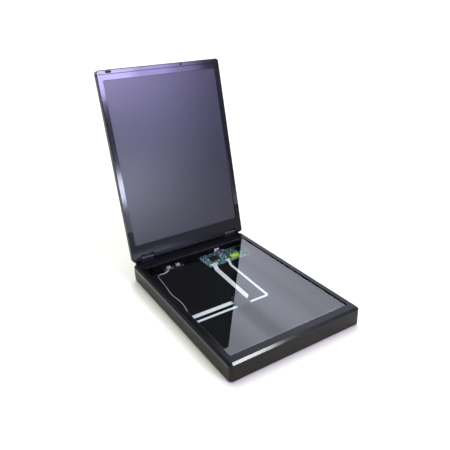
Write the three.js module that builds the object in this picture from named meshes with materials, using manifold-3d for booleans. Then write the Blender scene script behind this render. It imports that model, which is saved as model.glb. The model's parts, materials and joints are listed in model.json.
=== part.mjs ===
// Thin flatbed scanner with a hinged lid, shown with the lid standing open.
// Millimetres. X is the width, Y runs from the front edge to the hinge, Z is up.
// The origin is the middle of the housing's flat underside.
import * as THREE from 'three';
import { mergeVertices } from 'three/addons/utils/BufferGeometryUtils.js';
import Module from 'manifold-3d';

const wasm = await Module();
wasm.setup();

// Driving dimensions of the window, and of the rim around it
const WINDOW_WIDTH = 221;
const WINDOW_LENGTH = 299;
const SIDE_RIM = 11.5;
const FRONT_RIM = 16.5;
const BACK_RIM = 23.5;

// Driving dimensions of the base
const BASE_HEIGHT = 31.5;
const CORNER_RADIUS = 6;
const WALL = 2.2;
const FLOOR = 2.2;
const SPLIT_HEIGHT = 21;
const TOP_CHAMFER = 2.8;
const BOTTOM_EDGE_RADIUS = 1.4;

// Driving dimensions of the platen
const WINDOW_CORNER = 2;
const LIP = 1.8;
const GLASS_THICKNESS = 3;
const GLASS_OVERLAP = 2.8;
const GLASS_FRONT_OVERLAP = 7.5;

// Driving dimensions of the lid
const LID_THICKNESS = 12;
const LID_GAP = 1;
const LID_OVERHANG = 3;
const LID_SHELL_DEPTH = 8;
const LID_SKIN = 2;
const LID_EDGE_RADIUS = 1.2;
const LID_REAR_CORNER = 8;
const LID_SIDE_BEZEL = 10.5;
const LID_TOP_BEZEL = 10.3;
const LID_STRIP = 7.5;
const LID_BOTTOM_BEZEL = 27;
const LID_SEAM_HEIGHT = 55;
const HINGE_SETBACK = 2;
const HINGE_INSET = 30;
const OPEN_ANGLE = 102.1;

// Driving dimensions of the drive
const TRAVEL = 300;
const ROD_RADIUS = 2.5;
const ROD_HEIGHT = 18.5;
const RACK_MODULE = 1;
const GEAR_MODULE = 0.8;
const RACK_TEETH_PINION = 12;
const DRIVE_TEETH = 24;
const IDLER_PINION_TEETH = 10;
const IDLER_TEETH = 26;
const MOTOR_TEETH = 10;

// Clearances
const SEAM = 0.3;
const RUNNING = 0.08;
const SLIDE_GAP = 0.4;
const CUT = 1;

// Places that the driving dimensions set
const BASE_X = WINDOW_WIDTH / 2 + SIDE_RIM;
const BASE_Y = (FRONT_RIM + WINDOW_LENGTH + BACK_RIM) / 2;
const INNER_X = BASE_X - WALL;
const INNER_Y = BASE_Y - WALL;
const WINDOW_X = WINDOW_WIDTH / 2;
const WINDOW_FRONT = FRONT_RIM - BASE_Y;
const WINDOW_BACK = WINDOW_FRONT + WINDOW_LENGTH;
const GLASS_TOP = BASE_HEIGHT - LIP;
const GLASS_BOTTOM = GLASS_TOP - GLASS_THICKNESS;
const HINGE_X = BASE_X - HINGE_INSET;
const HINGE_Y = BASE_Y + HINGE_SETBACK;
const HINGE_Z = BASE_HEIGHT + LID_GAP + LID_THICKNESS / 2;

// Finishes
const finish = (color, roughness, metalness = 0) =>
  new THREE.MeshStandardMaterial({ color, roughness, metalness });
const housingPlastic = finish(0x24221f, 0.55);
const rimPlastic = finish(0x2b2a2e, 0.42);
const lidPlastic = finish(0x1d1c20, 0.45);
const glossPlastic = finish(0x0f0e13, 0.12);
const panelPlastic = finish(0x5b5870, 0.35);
const clearGlass = finish(0x9fb0b4, 0.04);
clearGlass.transparent = true;
clearGlass.opacity = 0.3;
const whiteStrip = finish(0xf2f2ee, 0.6);
const brightSteel = finish(0xb9bcc0, 0.25, 1);
const darkSteel = finish(0x3a3b3f, 0.4, 0.9);
const gearPlastic = finish(0xe6e2d6, 0.5);
const rackPlastic = finish(0x2f3033, 0.5);
const boardGreen = finish(0x1f6e58, 0.45);
const chipBlack = finish(0x17181a, 0.4);
const socketWhite = finish(0xe9e7df, 0.5);
const tapeYellow = finish(0xc9c734, 0.4);
const copperRed = finish(0x7a3a22, 0.4, 0.3);
const cableWhite = finish(0xe8eef0, 0.4);
const wireGrey = finish(0xb9bcbc, 0.5);
const ferriteBlack = finish(0x1a1a1c, 0.7);
const rubberBlack = finish(0x151515, 0.9);

// Solids are joined and cut here; a geometry becomes a solid once its corners are shared
function solidOf(geometry) {
  const bare = geometry.clone();
  bare.deleteAttribute('normal');
  bare.deleteAttribute('uv');
  const merged = mergeVertices(bare);
  const vertProperties = new Float32Array(merged.attributes.position.array);
  const triVerts = new Uint32Array(merged.index.array);
  return new wasm.Manifold(new wasm.Mesh({ numProp: 3, vertProperties, triVerts }));
}

function geometryOf(solid) {
  const { vertProperties, triVerts, numProp } = solid.getMesh();
  const geometry = new THREE.BufferGeometry();
  const position = new Float32Array((vertProperties.length / numProp) * 3);
  for (let i = 0; i < position.length / 3; i++) {
    position.set(vertProperties.subarray(i * numProp, i * numProp + 3), i * 3);
  }
  geometry.setAttribute('position', new THREE.BufferAttribute(position, 3));
  geometry.setIndex(new THREE.BufferAttribute(new Uint32Array(triVerts), 1));
  geometry.computeVertexNormals();
  return geometry;
}

const join = (first, ...others) => others.reduce((whole, next) => whole.add(next), first);
const cut = (first, ...tools) => tools.reduce((whole, tool) => whole.subtract(tool), first);

function block(x0, x1, y0, y1, z0, z1) {
  const geometry = new THREE.BoxGeometry(x1 - x0, y1 - y0, z1 - z0);
  geometry.translate((x0 + x1) / 2, (y0 + y1) / 2, (z0 + z1) / 2);
  return solidOf(geometry);
}

// The round section of a post or a wire
function ringShape(radius, sides) {
  const points = [];
  for (let i = 0; i < sides; i++) {
    const angle = (2 * Math.PI * i) / sides;
    points.push(new THREE.Vector2(radius * Math.cos(angle), radius * Math.sin(angle)));
  }
  return new THREE.Shape(points);
}

function post(x, y, z0, z1, radius, sides = 16) {
  const options = { depth: z1 - z0, bevelEnabled: false };
  const geometry = new THREE.ExtrudeGeometry(ringShape(radius, sides), options);
  geometry.translate(x, y, z0);
  return solidOf(geometry);
}

function barX(x0, x1, y, z, radius, sides = 16) {
  const geometry = new THREE.CylinderGeometry(radius, radius, x1 - x0, sides);
  geometry.rotateZ(Math.PI / 2);
  geometry.translate((x0 + x1) / 2, y, z);
  return solidOf(geometry);
}

function barY(y0, y1, x, z, radius, sides = 14) {
  const geometry = new THREE.CylinderGeometry(radius, radius, y1 - y0, sides);
  geometry.translate(x, (y0 + y1) / 2, z);
  return solidOf(geometry);
}

// An outline in X and Y with one radius at the front corners and one at the back
function roundedShape(x0, x1, y0, y1, front, back = front) {
  const shape = new THREE.Shape();
  shape.moveTo(x0 + front, y0);
  shape.lineTo(x1 - front, y0);
  shape.absarc(x1 - front, y0 + front, front, -Math.PI / 2, 0);
  shape.lineTo(x1, y1 - back);
  shape.absarc(x1 - back, y1 - back, back, 0, Math.PI / 2);
  shape.lineTo(x0 + back, y1);
  shape.absarc(x0 + back, y1 - back, back, Math.PI / 2, Math.PI);
  shape.lineTo(x0, y0 + front);
  shape.absarc(x0 + front, y0 + front, front, Math.PI, 1.5 * Math.PI);
  return shape;
}

function plate(shape, z0, z1, curveSegments = 5) {
  const geometry = new THREE.ExtrudeGeometry(shape, { depth: z1 - z0, bevelEnabled: false, curveSegments });
  geometry.translate(0, 0, z0);
  return solidOf(geometry);
}

// A plate whose long edges are rounded at both ends of its height
function softPlate(shape, z0, z1, edge, bevelSegments = 2, curveSegments = 5) {
  const options = {
    depth: z1 - z0 - 2 * edge,
    bevelEnabled: true,
    bevelThickness: edge,
    bevelSize: edge,
    bevelOffset: -edge,
    bevelSegments,
    curveSegments,
  };
  const geometry = new THREE.ExtrudeGeometry(shape, options);
  geometry.translate(0, 0, z0 + edge);
  return solidOf(geometry);
}

// A side profile drawn in Y and Z, carried along X
function prismX(shape, x0, x1, curveSegments = 6) {
  const geometry = new THREE.ExtrudeGeometry(shape, { depth: x1 - x0, bevelEnabled: false, curveSegments });
  const alongX = new THREE.Matrix4().makeBasis(
    new THREE.Vector3(0, 1, 0),
    new THREE.Vector3(0, 0, 1),
    new THREE.Vector3(1, 0, 0),
  );
  geometry.applyMatrix4(alongX);
  geometry.translate(x0, 0, 0);
  return solidOf(geometry);
}

// A flat band's side outline: the line through its middle, thickened to both sides
function bandShape(middle, thickness) {
  const left = [];
  const right = [];
  middle.forEach((point, i) => {
    const before = middle[Math.max(i - 1, 0)];
    const after = middle[Math.min(i + 1, middle.length - 1)];
    const along = new THREE.Vector2().subVectors(after, before).normalize();
    const toEnd = new THREE.Vector2().subVectors(after, point);
    const firstOrLast = i === 0 || i === middle.length - 1;
    const half = thickness / 2 / (firstOrLast ? 1 : Math.abs(along.dot(toEnd.normalize())));
    left.push(new THREE.Vector2(point.x - along.y * half, point.y + along.x * half));
    right.push(new THREE.Vector2(point.x + along.y * half, point.y - along.x * half));
  });
  return new THREE.Shape([...left, ...right.reverse()]);
}

// Spur gear outline with involute flanks
const PRESSURE_ANGLE = (20 * Math.PI) / 180;
const ADDENDUM_SHARE = 0.8;
const DEDENDUM_SHARE = 1.1;
const BACKLASH_SHARE = 0.16;
const FLANK_STEPS = 2;
const STRAIGHT_FOOT_SHARE = 0.4;

function gearShape(teeth, module, boreRadius, turn = 0) {
  const pitch = (teeth * module) / 2;
  const base = pitch * Math.cos(PRESSURE_ANGLE);
  const tip = pitch + module * ADDENDUM_SHARE;
  const root = pitch - module * DEDENDUM_SHARE;
  const involute = (radius) => {
    const angle = Math.acos(Math.min(base / radius, 1));
    return Math.tan(angle) - angle;
  };
  const halfAtPitch = Math.PI / (2 * teeth) - (BACKLASH_SHARE * module) / (2 * pitch);
  const halfAt = (radius) => halfAtPitch + involute(pitch) - involute(radius);
  const footed = base - root > module * STRAIGHT_FOOT_SHARE;
  const start = footed ? base : root;
  const radii = footed ? [root] : [];
  for (let i = 0; i <= FLANK_STEPS; i++) radii.push(start + ((tip - start) * i) / FLANK_STEPS);
  const points = [];
  for (let tooth = 0; tooth < teeth; tooth++) {
    const centre = turn + (2 * Math.PI * tooth) / teeth;
    const at = (radius, side) => {
      const angle = centre + side * halfAt(radius);
      return new THREE.Vector2(radius * Math.cos(angle), radius * Math.sin(angle));
    };
    for (const radius of radii) points.push(at(radius, -1));
    for (const radius of [...radii].reverse()) points.push(at(radius, 1));
  }
  const shape = new THREE.Shape(points);
  const bore = new THREE.Path();
  bore.absarc(0, 0, boreRadius, 0, 2 * Math.PI, true);
  shape.holes.push(bore);
  return shape;
}

function place(name, solid, material, parent) {
  const mesh = new THREE.Mesh(geometryOf(solid), material);
  mesh.name = name;
  parent.add(mesh);
  return mesh;
}

const scanner = new THREE.Group();
scanner.name = 'flatbed_scanner';

// Guide rod, carriage lane and cable lane share these places
const CARRIAGE_HALF = 11;
const ROD_END_WALL = 3.1;
const BEARING_HALF = 4.45;
const ROD_X = -(INNER_X - SLIDE_GAP - BEARING_HALF);
const HOME_Y = -INNER_Y + ROD_END_WALL + SLIDE_GAP + SEAM + CARRIAGE_HALF;
const ROD_BACK_WALL = 5.8;

// Drive rack on the floor and the gear axes beside it
const RACK_BACK = 4.95;
const RACK_TOP = 8.2;
const RACK_PITCH_X = -(INNER_X - SEAM) + RACK_BACK + DEDENDUM_SHARE * RACK_MODULE;
const DRIVE_X = RACK_PITCH_X + (RACK_TEETH_PINION * RACK_MODULE) / 2;
const IDLER_X = DRIVE_X + ((DRIVE_TEETH + IDLER_PINION_TEETH) * GEAR_MODULE) / 2;
const MOTOR_X = IDLER_X + ((IDLER_TEETH + MOTOR_TEETH) * GEAR_MODULE) / 2;

// Screws that hold the housing and the top frame together
const SCREW_RADIUS = 1.3;
const SCREW_HEAD_RADIUS = 2.6;
const SCREW_HEAD_HEIGHT = 1.8;
const SCREW_SEAT = 2.8;
const BOSS_RADIUS = 3;
const BOSS_FOOT_RADIUS = 4.2;
const BOSS_FOOT_HEIGHT = 5;
const BOSS_SIDE_INSET = 3.2;
const BOSS_BACK_INSET = 3.7;
const RIGHT_BOSS_FRONT_INSET = 49.5;
const RIGHT_BOSS_BACK_INSET = 109.5;
const BACK_BOSS_LEFT_INSET = 34;
const BACK_BOSS_MIDDLE_INSET = 120;
const screwPlaces = [
  ['housing_screw_right_front', INNER_X - BOSS_SIDE_INSET, RIGHT_BOSS_FRONT_INSET - BASE_Y],
  ['housing_screw_right_back', INNER_X - BOSS_SIDE_INSET, BASE_Y - RIGHT_BOSS_BACK_INSET],
  ['housing_screw_back_left', BACK_BOSS_LEFT_INSET - BASE_X, INNER_Y - BOSS_BACK_INSET],
  ['housing_screw_back_middle', BASE_X - BACK_BOSS_MIDDLE_INSET, INNER_Y - BOSS_BACK_INSET],
];

// Rubber feet
const FOOT_RADIUS = 7;
const FOOT_DROP = 1.6;
const FOOT_RECESS = 0.6;
const FOOT_INSET_X = 22;
const FOOT_INSET_Y = 24;
const footPlaces = [
  ['foot_front_left', -1, -1],
  ['foot_front_right', 1, -1],
  ['foot_back_left', -1, 1],
  ['foot_back_right', 1, 1],
].map(([name, sideX, sideY]) => [name, sideX * (BASE_X - FOOT_INSET_X), sideY * (BASE_Y - FOOT_INSET_Y)]);

// Main board at the back right
const BOARD_WIDTH = 106;
const BOARD_LENGTH = 48;
const BOARD_RIGHT_GAP = 1.8;
const BOARD_BACK_GAP = 4.3;
const BOARD_HEIGHT = 4.8;
const BOARD_THICKNESS = 1.6;
const BOARD_POST_RADIUS = 3;
const BOARD_PIN_RADIUS = 1.1;
const BOARD_POST_INSET = 5;
const BOARD_RIGHT = INNER_X - BOARD_RIGHT_GAP;
const BOARD_LEFT = BOARD_RIGHT - BOARD_WIDTH;
const BOARD_BACK = INNER_Y - BOARD_BACK_GAP;
const BOARD_FRONT = BOARD_BACK - BOARD_LENGTH;
const BOARD_TOP = BOARD_HEIGHT + BOARD_THICKNESS;
const boardPostPlaces = [
  [BOARD_LEFT + BOARD_POST_INSET, BOARD_BACK - BOARD_POST_INSET],
  [BOARD_RIGHT - BOARD_POST_INSET, BOARD_BACK - BOARD_POST_INSET],
  [BOARD_RIGHT - BOARD_POST_INSET, BOARD_FRONT + BOARD_POST_INSET],
];

// USB port and its aperture in the back wall
const USB_PLACE = 48;
const USB_X = BOARD_LEFT + USB_PLACE;
const USB_WIDTH = 7.7;
const USB_HEIGHT = 3.9;
const USB_LENGTH = 9;
const USB_SHEET = 0.4;
const USB_APERTURE_WIDTH = 11.6;
const USB_APERTURE_HEIGHT = 7;

// Lamp driver board at the back left
const DRIVER_INSET = 51.8;
const DRIVER_WIDTH = 46;
const DRIVER_LEFT = -INNER_X + DRIVER_INSET;
const DRIVER_RIGHT = DRIVER_LEFT + DRIVER_WIDTH;
const DRIVER_DEPTH = 13;
const DRIVER_POST_INSET = 3.5;
const DRIVER_THICKNESS = 1.4;
const DRIVER_BACK = INNER_Y - WALL / 2;
const DRIVER_TOP = BOARD_HEIGHT + DRIVER_THICKNESS;
const driverPostPlaces = [DRIVER_LEFT + DRIVER_POST_INSET, DRIVER_RIGHT - DRIVER_POST_INSET];

// Moulded ribs and pegs of the housing
const RIB = 1.2;
const RIB_REACH = 2.6;
const RIB_TOP = 11;
const RIB_SPACING = 52;
const TONGUE = 1;
const TONGUE_HEIGHT = 1.6;
const PEG_RADIUS = 1.2;
const PEG_HEIGHT = 3;
const PEG_SPACING = 110;

function lowerHousing() {
  const outline = roundedShape(-BASE_X, BASE_X, -BASE_Y, BASE_Y, CORNER_RADIUS);
  const hollow = roundedShape(-INNER_X, INNER_X, -INNER_Y, INNER_Y, CORNER_RADIUS - WALL);
  const outer = softPlate(outline, 0, BASE_HEIGHT, BOTTOM_EDGE_RADIUS);
  const upper = block(
    -BASE_X - CUT, BASE_X + CUT,
    -BASE_Y - CUT, BASE_Y + CUT,
    SPLIT_HEIGHT, BASE_HEIGHT + CUT,
  );
  let tray = cut(outer, upper, plate(hollow, FLOOR, BASE_HEIGHT));

  // A tongue on the inside of the wall locates the top frame
  const tongueX = INNER_X + TONGUE;
  const tongueY = INNER_Y + TONGUE;
  const tongueCorner = CORNER_RADIUS - WALL + TONGUE;
  const tongueOutline = roundedShape(-tongueX, tongueX, -tongueY, tongueY, tongueCorner);
  const tongue = cut(
    plate(tongueOutline, SPLIT_HEIGHT - CUT, SPLIT_HEIGHT + TONGUE_HEIGHT),
    plate(hollow, SPLIT_HEIGHT - CUT - CUT, SPLIT_HEIGHT + TONGUE_HEIGHT + CUT),
  );
  tray = join(tray, tongue);

  // Gusset ribs stiffen the right, front and back walls below the carriage
  for (let y = -INNER_Y + RIB_SPACING; y < BOARD_FRONT; y += RIB_SPACING) {
    tray = join(tray, block(INNER_X - RIB_REACH, INNER_X + WALL / 2, y, y + RIB, FLOOR / 2, RIB_TOP));
  }
  for (let x = -INNER_X + RIB_SPACING; x < INNER_X - RIB_SPACING / 2; x += RIB_SPACING) {
    tray = join(tray, block(x, x + RIB, -INNER_Y - WALL / 2, -INNER_Y + RIB_REACH, FLOOR / 2, RIB_TOP));
  }

  // Cradles for both ends of the guide rod, open at the top
  const rodFit = ROD_RADIUS + RUNNING;
  const cradle = (y0, y1) => cut(
    block(-INNER_X - WALL / 2, ROD_X + BEARING_HALF, y0, y1, FLOOR / 2, SPLIT_HEIGHT),
    block(ROD_X - rodFit, ROD_X + rodFit, y0 - CUT, y1 + CUT, ROD_HEIGHT, BASE_HEIGHT),
    barY(y0 - CUT, y1 + CUT, ROD_X, ROD_HEIGHT, rodFit),
  );
  tray = join(
    tray,
    cradle(-INNER_Y - WALL / 2, -INNER_Y + ROD_END_WALL),
    cradle(INNER_Y - ROD_BACK_WALL, INNER_Y + WALL / 2),
  );

  // Pegs hold the rack down, posts carry both boards
  const pegX = -(INNER_X - SEAM) + RACK_BACK / 2;
  for (const y of [-PEG_SPACING, 0, PEG_SPACING]) {
    tray = join(tray, post(pegX, y, FLOOR / 2, FLOOR + PEG_HEIGHT, PEG_RADIUS, 8));
  }
  const boardPosts = [
    ...boardPostPlaces,
    ...driverPostPlaces.map((x) => [x, DRIVER_BACK - DRIVER_DEPTH / 2]),
  ];
  for (const [x, y] of boardPosts) {
    tray = join(
      tray,
      post(x, y, FLOOR / 2, BOARD_HEIGHT, BOARD_POST_RADIUS, 12),
      post(x, y, FLOOR / 2, BOARD_TOP + BOARD_THICKNESS / 2, BOARD_PIN_RADIUS, 8),
    );
  }

  // Screw bosses, with the head's seat sunk in the underside
  for (const [, x, y] of screwPlaces) {
    tray = join(
      tray,
      post(x, y, FLOOR / 2, BOSS_FOOT_HEIGHT, BOSS_FOOT_RADIUS, 12),
      post(x, y, FLOOR / 2, SPLIT_HEIGHT, BOSS_RADIUS, 12),
    );
  }
  for (const [, x, y] of screwPlaces) {
    tray = cut(
      tray,
      post(x, y, -CUT, SCREW_SEAT, SCREW_HEAD_RADIUS + SEAM, 12),
      post(x, y, 0, SPLIT_HEIGHT + CUT, SCREW_RADIUS + SEAM, 12),
    );
  }

  for (const [, x, y] of footPlaces) {
    tray = cut(tray, post(x, y, -CUT, FOOT_RECESS, FOOT_RADIUS + SEAM, 16));
  }
  const apertureX = USB_APERTURE_WIDTH / 2;
  const apertureZ = BOARD_TOP + USB_HEIGHT / 2;
  const halfHigh = USB_APERTURE_HEIGHT / 2;
  const aperture = block(
    USB_X - apertureX, USB_X + apertureX,
    INNER_Y - CUT, BASE_Y + CUT,
    apertureZ - halfHigh, apertureZ + halfHigh,
  );
  return cut(tray, aperture);
}

// Lid hinges: ears on the base, a knuckle on the lid and a pin through both
const EAR_RADIUS = 5.5;
const EAR_WIDTH = 5.5;
const KNUCKLE_RADIUS = 5;
const KNUCKLE_WIDTH = 11.4;
const PIN_RADIUS = 2;
const PIN_END = 0.4;
const FOOT_PLATE_BOTTOM = 9;
const FOOT_PLATE_THICKNESS = 3;
const NECK_THICKNESS = 6;
const EAR_INNER = KNUCKLE_WIDTH / 2 + SEAM;
const EAR_OUTER = EAR_INNER + EAR_WIDTH;
const NOTCH_HALF = EAR_OUTER + 2 * SEAM;

// Top frame: the rim around the window, with the ribs that keep the glass in place
const GLASS_RIB = 1.2;
const GLASS_RIB_DEPTH = 2.4;
const STRIP_RECESS = 0.4;
const STRIP_THICKNESS = 0.25;
const STRIP_WIDTH = 5;
const STRIP_INSET = 1;
const STRIP_SIDE_INSET = 2;
const GLASS_X = WINDOW_X + GLASS_OVERLAP;
const GLASS_FRONT = WINDOW_FRONT - GLASS_FRONT_OVERLAP;
const GLASS_BACK = WINDOW_BACK + GLASS_OVERLAP;
const STRIP_BACK = WINDOW_FRONT - STRIP_INSET;
const STRIP_FRONT = STRIP_BACK - STRIP_WIDTH;
const STRIP_X = WINDOW_X - STRIP_SIDE_INSET;

// Ledge along the back that closes the gap under the lid's round end
const LEDGE_INSET = 7;
const LEDGE_REACH = 6.5;
const LEDGE_DEPTH = 4;
const LEDGE_RISE = 0.4;
const LEDGE_LAP = 5;

function topFrame() {
  const outline = roundedShape(-BASE_X, BASE_X, -BASE_Y, BASE_Y, CORNER_RADIUS);
  const hollow = roundedShape(-INNER_X, INNER_X, -INNER_Y, INNER_Y, CORNER_RADIUS - WALL);
  const outer = softPlate(outline, 0, BASE_HEIGHT, TOP_CHAMFER, 1);
  const lower = block(-BASE_X - CUT, BASE_X + CUT, -BASE_Y - CUT, BASE_Y + CUT, -CUT, SPLIT_HEIGHT);
  let frame = cut(outer, lower, plate(hollow, 0, GLASS_TOP));

  // Groove for the housing's tongue
  const grooveX = INNER_X + TONGUE + RUNNING;
  const grooveY = INNER_Y + TONGUE + RUNNING;
  const grooveOutline = roundedShape(-grooveX, grooveX, -grooveY, grooveY, CORNER_RADIUS - WALL + TONGUE);
  frame = cut(frame, plate(grooveOutline, 0, SPLIT_HEIGHT + TONGUE_HEIGHT + SEAM));

  // Ribs around the glass, screw bosses and the clamps over the guide rod
  const ribX = GLASS_X + SEAM + GLASS_RIB;
  const glassRibs = cut(
    block(-ribX, ribX, GLASS_FRONT - SEAM - GLASS_RIB, GLASS_BACK + SEAM + GLASS_RIB,
      GLASS_TOP - GLASS_RIB_DEPTH, GLASS_TOP + LIP / 2),
    block(-GLASS_X - SEAM, GLASS_X + SEAM, GLASS_FRONT - SEAM, GLASS_BACK + SEAM, 0, BASE_HEIGHT),
  );
  frame = join(frame, glassRibs);
  for (const [, x, y] of screwPlaces) {
    frame = join(frame, post(x, y, SPLIT_HEIGHT + SEAM, GLASS_TOP + LIP / 2, BOSS_RADIUS, 12));
  }
  for (const [, x, y] of screwPlaces) {
    frame = cut(frame, post(x, y, 0, GLASS_TOP - LIP / 2, SCREW_RADIUS + SEAM, 12));
  }
  const clamp = (y0, y1) => block(
    ROD_X - ROD_RADIUS, ROD_X + ROD_RADIUS, y0, y1,
    ROD_HEIGHT + ROD_RADIUS + SEAM, GLASS_TOP + LIP / 2,
  );
  frame = join(
    frame,
    clamp(-INNER_Y + SLIDE_GAP, -INNER_Y + ROD_END_WALL),
    clamp(INNER_Y - ROD_BACK_WALL, INNER_Y - SLIDE_GAP),
  );

  const ledgeProfile = new THREE.Shape();
  ledgeProfile.moveTo(BASE_Y - LEDGE_LAP, GLASS_TOP + LIP / 2);
  ledgeProfile.lineTo(BASE_Y - WALL / 2, BASE_HEIGHT - LEDGE_DEPTH - LEDGE_DEPTH);
  ledgeProfile.lineTo(BASE_Y, BASE_HEIGHT - LEDGE_DEPTH - LEDGE_DEPTH);
  ledgeProfile.lineTo(BASE_Y + LEDGE_REACH, BASE_HEIGHT - LEDGE_DEPTH);
  ledgeProfile.lineTo(BASE_Y + LEDGE_REACH, BASE_HEIGHT + LEDGE_RISE);
  ledgeProfile.lineTo(BASE_Y - LEDGE_LAP, BASE_HEIGHT + LEDGE_RISE);
  let ledge = prismX(ledgeProfile, -BASE_X + LEDGE_INSET, BASE_X - LEDGE_INSET);
  for (const x of [-HINGE_X, HINGE_X]) {
    const gap = block(x - NOTCH_HALF, x + NOTCH_HALF, BASE_Y, BASE_Y + LEDGE_REACH + CUT, 0, HINGE_Z);
    ledge = cut(ledge, gap);
  }
  frame = join(frame, ledge);

  const window = roundedShape(-WINDOW_X, WINDOW_X, WINDOW_FRONT, WINDOW_BACK, WINDOW_CORNER);
  const recess = block(
    -STRIP_X - SEAM, STRIP_X + SEAM,
    STRIP_FRONT - SEAM, STRIP_BACK + SEAM,
    GLASS_TOP - CUT, GLASS_TOP + STRIP_RECESS,
  );
  return cut(frame, plate(window, 0, BASE_HEIGHT + CUT, 3), recess);
}

place('lower_housing', lowerHousing(), housingPlastic, scanner);
place('top_frame', topFrame(), rimPlastic, scanner);
place(
  'platen_glass',
  block(-GLASS_X, GLASS_X, GLASS_FRONT, GLASS_BACK, GLASS_BOTTOM, GLASS_TOP),
  clearGlass,
  scanner,
);
const STRIP_Z = GLASS_TOP + (STRIP_RECESS - STRIP_THICKNESS) / 2;
place(
  'calibration_strip',
  block(-STRIP_X, STRIP_X, STRIP_FRONT, STRIP_BACK, STRIP_Z, STRIP_Z + STRIP_THICKNESS),
  whiteStrip,
  scanner,
);

function foot(x, y) {
  const profile = [
    new THREE.Vector2(0, -FOOT_DROP),
    new THREE.Vector2(FOOT_RADIUS - FOOT_RECESS - FOOT_RECESS, -FOOT_DROP),
    new THREE.Vector2(FOOT_RADIUS, -FOOT_DROP / 2),
    new THREE.Vector2(FOOT_RADIUS, FOOT_RECESS),
    new THREE.Vector2(0, FOOT_RECESS),
  ];
  const geometry = new THREE.LatheGeometry(profile, 16);
  geometry.rotateX(Math.PI / 2);
  geometry.translate(x, y, 0);
  return solidOf(geometry);
}

for (const [name, x, y] of footPlaces) {
  place(name, foot(x, y), rubberBlack, scanner);
}

// Pan head screws with a cross recess, driven in from below
const CROSS_LENGTH = 3;
const CROSS_WIDTH = 0.7;
const SCREW_LENGTH = 24;
for (const [name, x, y] of screwPlaces) {
  const headBottom = SCREW_SEAT - SCREW_HEAD_HEIGHT;
  const half = CROSS_LENGTH / 2;
  const narrow = CROSS_WIDTH / 2;
  const deep = SCREW_HEAD_HEIGHT / 2;
  const screw = cut(
    join(
      post(x, y, headBottom, SCREW_SEAT, SCREW_HEAD_RADIUS, 12),
      post(x, y, SCREW_SEAT - deep, SCREW_SEAT + SCREW_LENGTH, SCREW_RADIUS, 8),
    ),
    block(x - half, x + half, y - narrow, y + narrow, headBottom - CUT, headBottom + deep),
    block(x - narrow, x + narrow, y - half, y + half, headBottom - CUT, headBottom + deep),
  );
  place(name, screw, darkSteel, scanner);
}

place(
  'guide_rod',
  barY(-INNER_Y + SEAM, INNER_Y - SEAM, ROD_X, ROD_HEIGHT, ROD_RADIUS),
  brightSteel,
  scanner,
);

// Drive rack: straight-sided teeth that face the carriage's pinion
const RACK_END_GAP = 5.5;

function driveRack() {
  const pitchStep = Math.PI * RACK_MODULE;
  const tipX = RACK_PITCH_X + ADDENDUM_SHARE * RACK_MODULE;
  const rootX = RACK_PITCH_X - DEDENDUM_SHARE * RACK_MODULE;
  const backX = -(INNER_X - SEAM);
  const start = -INNER_Y + RACK_END_GAP;
  const end = INNER_Y - ROD_BACK_WALL - RACK_END_GAP;
  const halfAtPitch = pitchStep / 4 - (BACKLASH_SHARE * RACK_MODULE) / 2;
  const slope = Math.tan(PRESSURE_ANGLE);
  const halfTip = halfAtPitch - slope * (tipX - RACK_PITCH_X);
  const halfRoot = halfAtPitch + slope * (RACK_PITCH_X - rootX);
  const first = Math.ceil((start - HOME_Y) / pitchStep);
  const last = Math.floor((end - HOME_Y) / pitchStep) - 1;
  const shape = new THREE.Shape();
  shape.moveTo(backX, end);
  shape.lineTo(backX, start);
  shape.lineTo(rootX, start);
  for (let tooth = first; tooth <= last; tooth++) {
    const y = HOME_Y + (tooth + 0.5) * pitchStep;
    shape.lineTo(rootX, y - halfRoot);
    shape.lineTo(tipX, y - halfTip);
    shape.lineTo(tipX, y + halfTip);
    shape.lineTo(rootX, y + halfRoot);
  }
  shape.lineTo(rootX, end);
  let rack = plate(shape, FLOOR, RACK_TOP);
  for (const y of [-PEG_SPACING, 0, PEG_SPACING]) {
    rack = cut(rack, post(backX + RACK_BACK / 2, y, 0, RACK_TOP + CUT, PEG_RADIUS + SEAM, 8));
  }
  return rack;
}

place('drive_rack', driveRack(), rackPlastic, scanner);

// Main board, its sockets and its larger parts
const WIDE_SOCKET_PLACE = 11.4;
const NARROW_SOCKET_PLACE = 43.6;
const WIDE_SOCKET_X = BOARD_LEFT + WIDE_SOCKET_PLACE;
const NARROW_SOCKET_X = BOARD_LEFT + NARROW_SOCKET_PLACE;
const SOCKET_DEPTH = 4.4;
const SOCKET_HEIGHT = 3;
const SOCKET_SETBACK = 1.6;
const WIDE_SOCKET_WIDTH = 16.5;
const NARROW_SOCKET_WIDTH = 9.5;
const COIL_PLACE = 54;
const COIL_WIDTH = 26;
const COIL_SETBACK = 5;
const COIL_DEPTH = 10;
const COIL_HEIGHT = 4.8;
const COIL_EDGE = 1;
const CHIP_PLACE = 26;
const CHIP_SETBACK = 26;
const CHIP_X = BOARD_LEFT + CHIP_PLACE;
const CHIP_Y = BOARD_FRONT + CHIP_SETBACK;
const CHIP_SIDE = 18;
const CHIP_HEIGHT = 1.6;
const MEMORY_PLACE = 88;
const MEMORY_SETBACK = 31;
const MEMORY_X = BOARD_LEFT + MEMORY_PLACE;
const MEMORY_Y = BOARD_FRONT + MEMORY_SETBACK;
const MEMORY_WIDTH = 12;
const MEMORY_LENGTH = 18;

function board(x0, x1, y0, y1, thickness, holes) {
  let sheet = block(x0, x1, y0, y1, BOARD_HEIGHT, BOARD_HEIGHT + thickness);
  for (const [x, y] of holes) {
    sheet = cut(sheet, post(x, y, 0, BASE_HEIGHT, BOARD_PIN_RADIUS + SEAM, 12));
  }
  return sheet;
}

const mainBoard = board(BOARD_LEFT, BOARD_RIGHT, BOARD_FRONT, BOARD_BACK, BOARD_THICKNESS, boardPostPlaces);
place('main_board', mainBoard, boardGreen, scanner);

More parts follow.
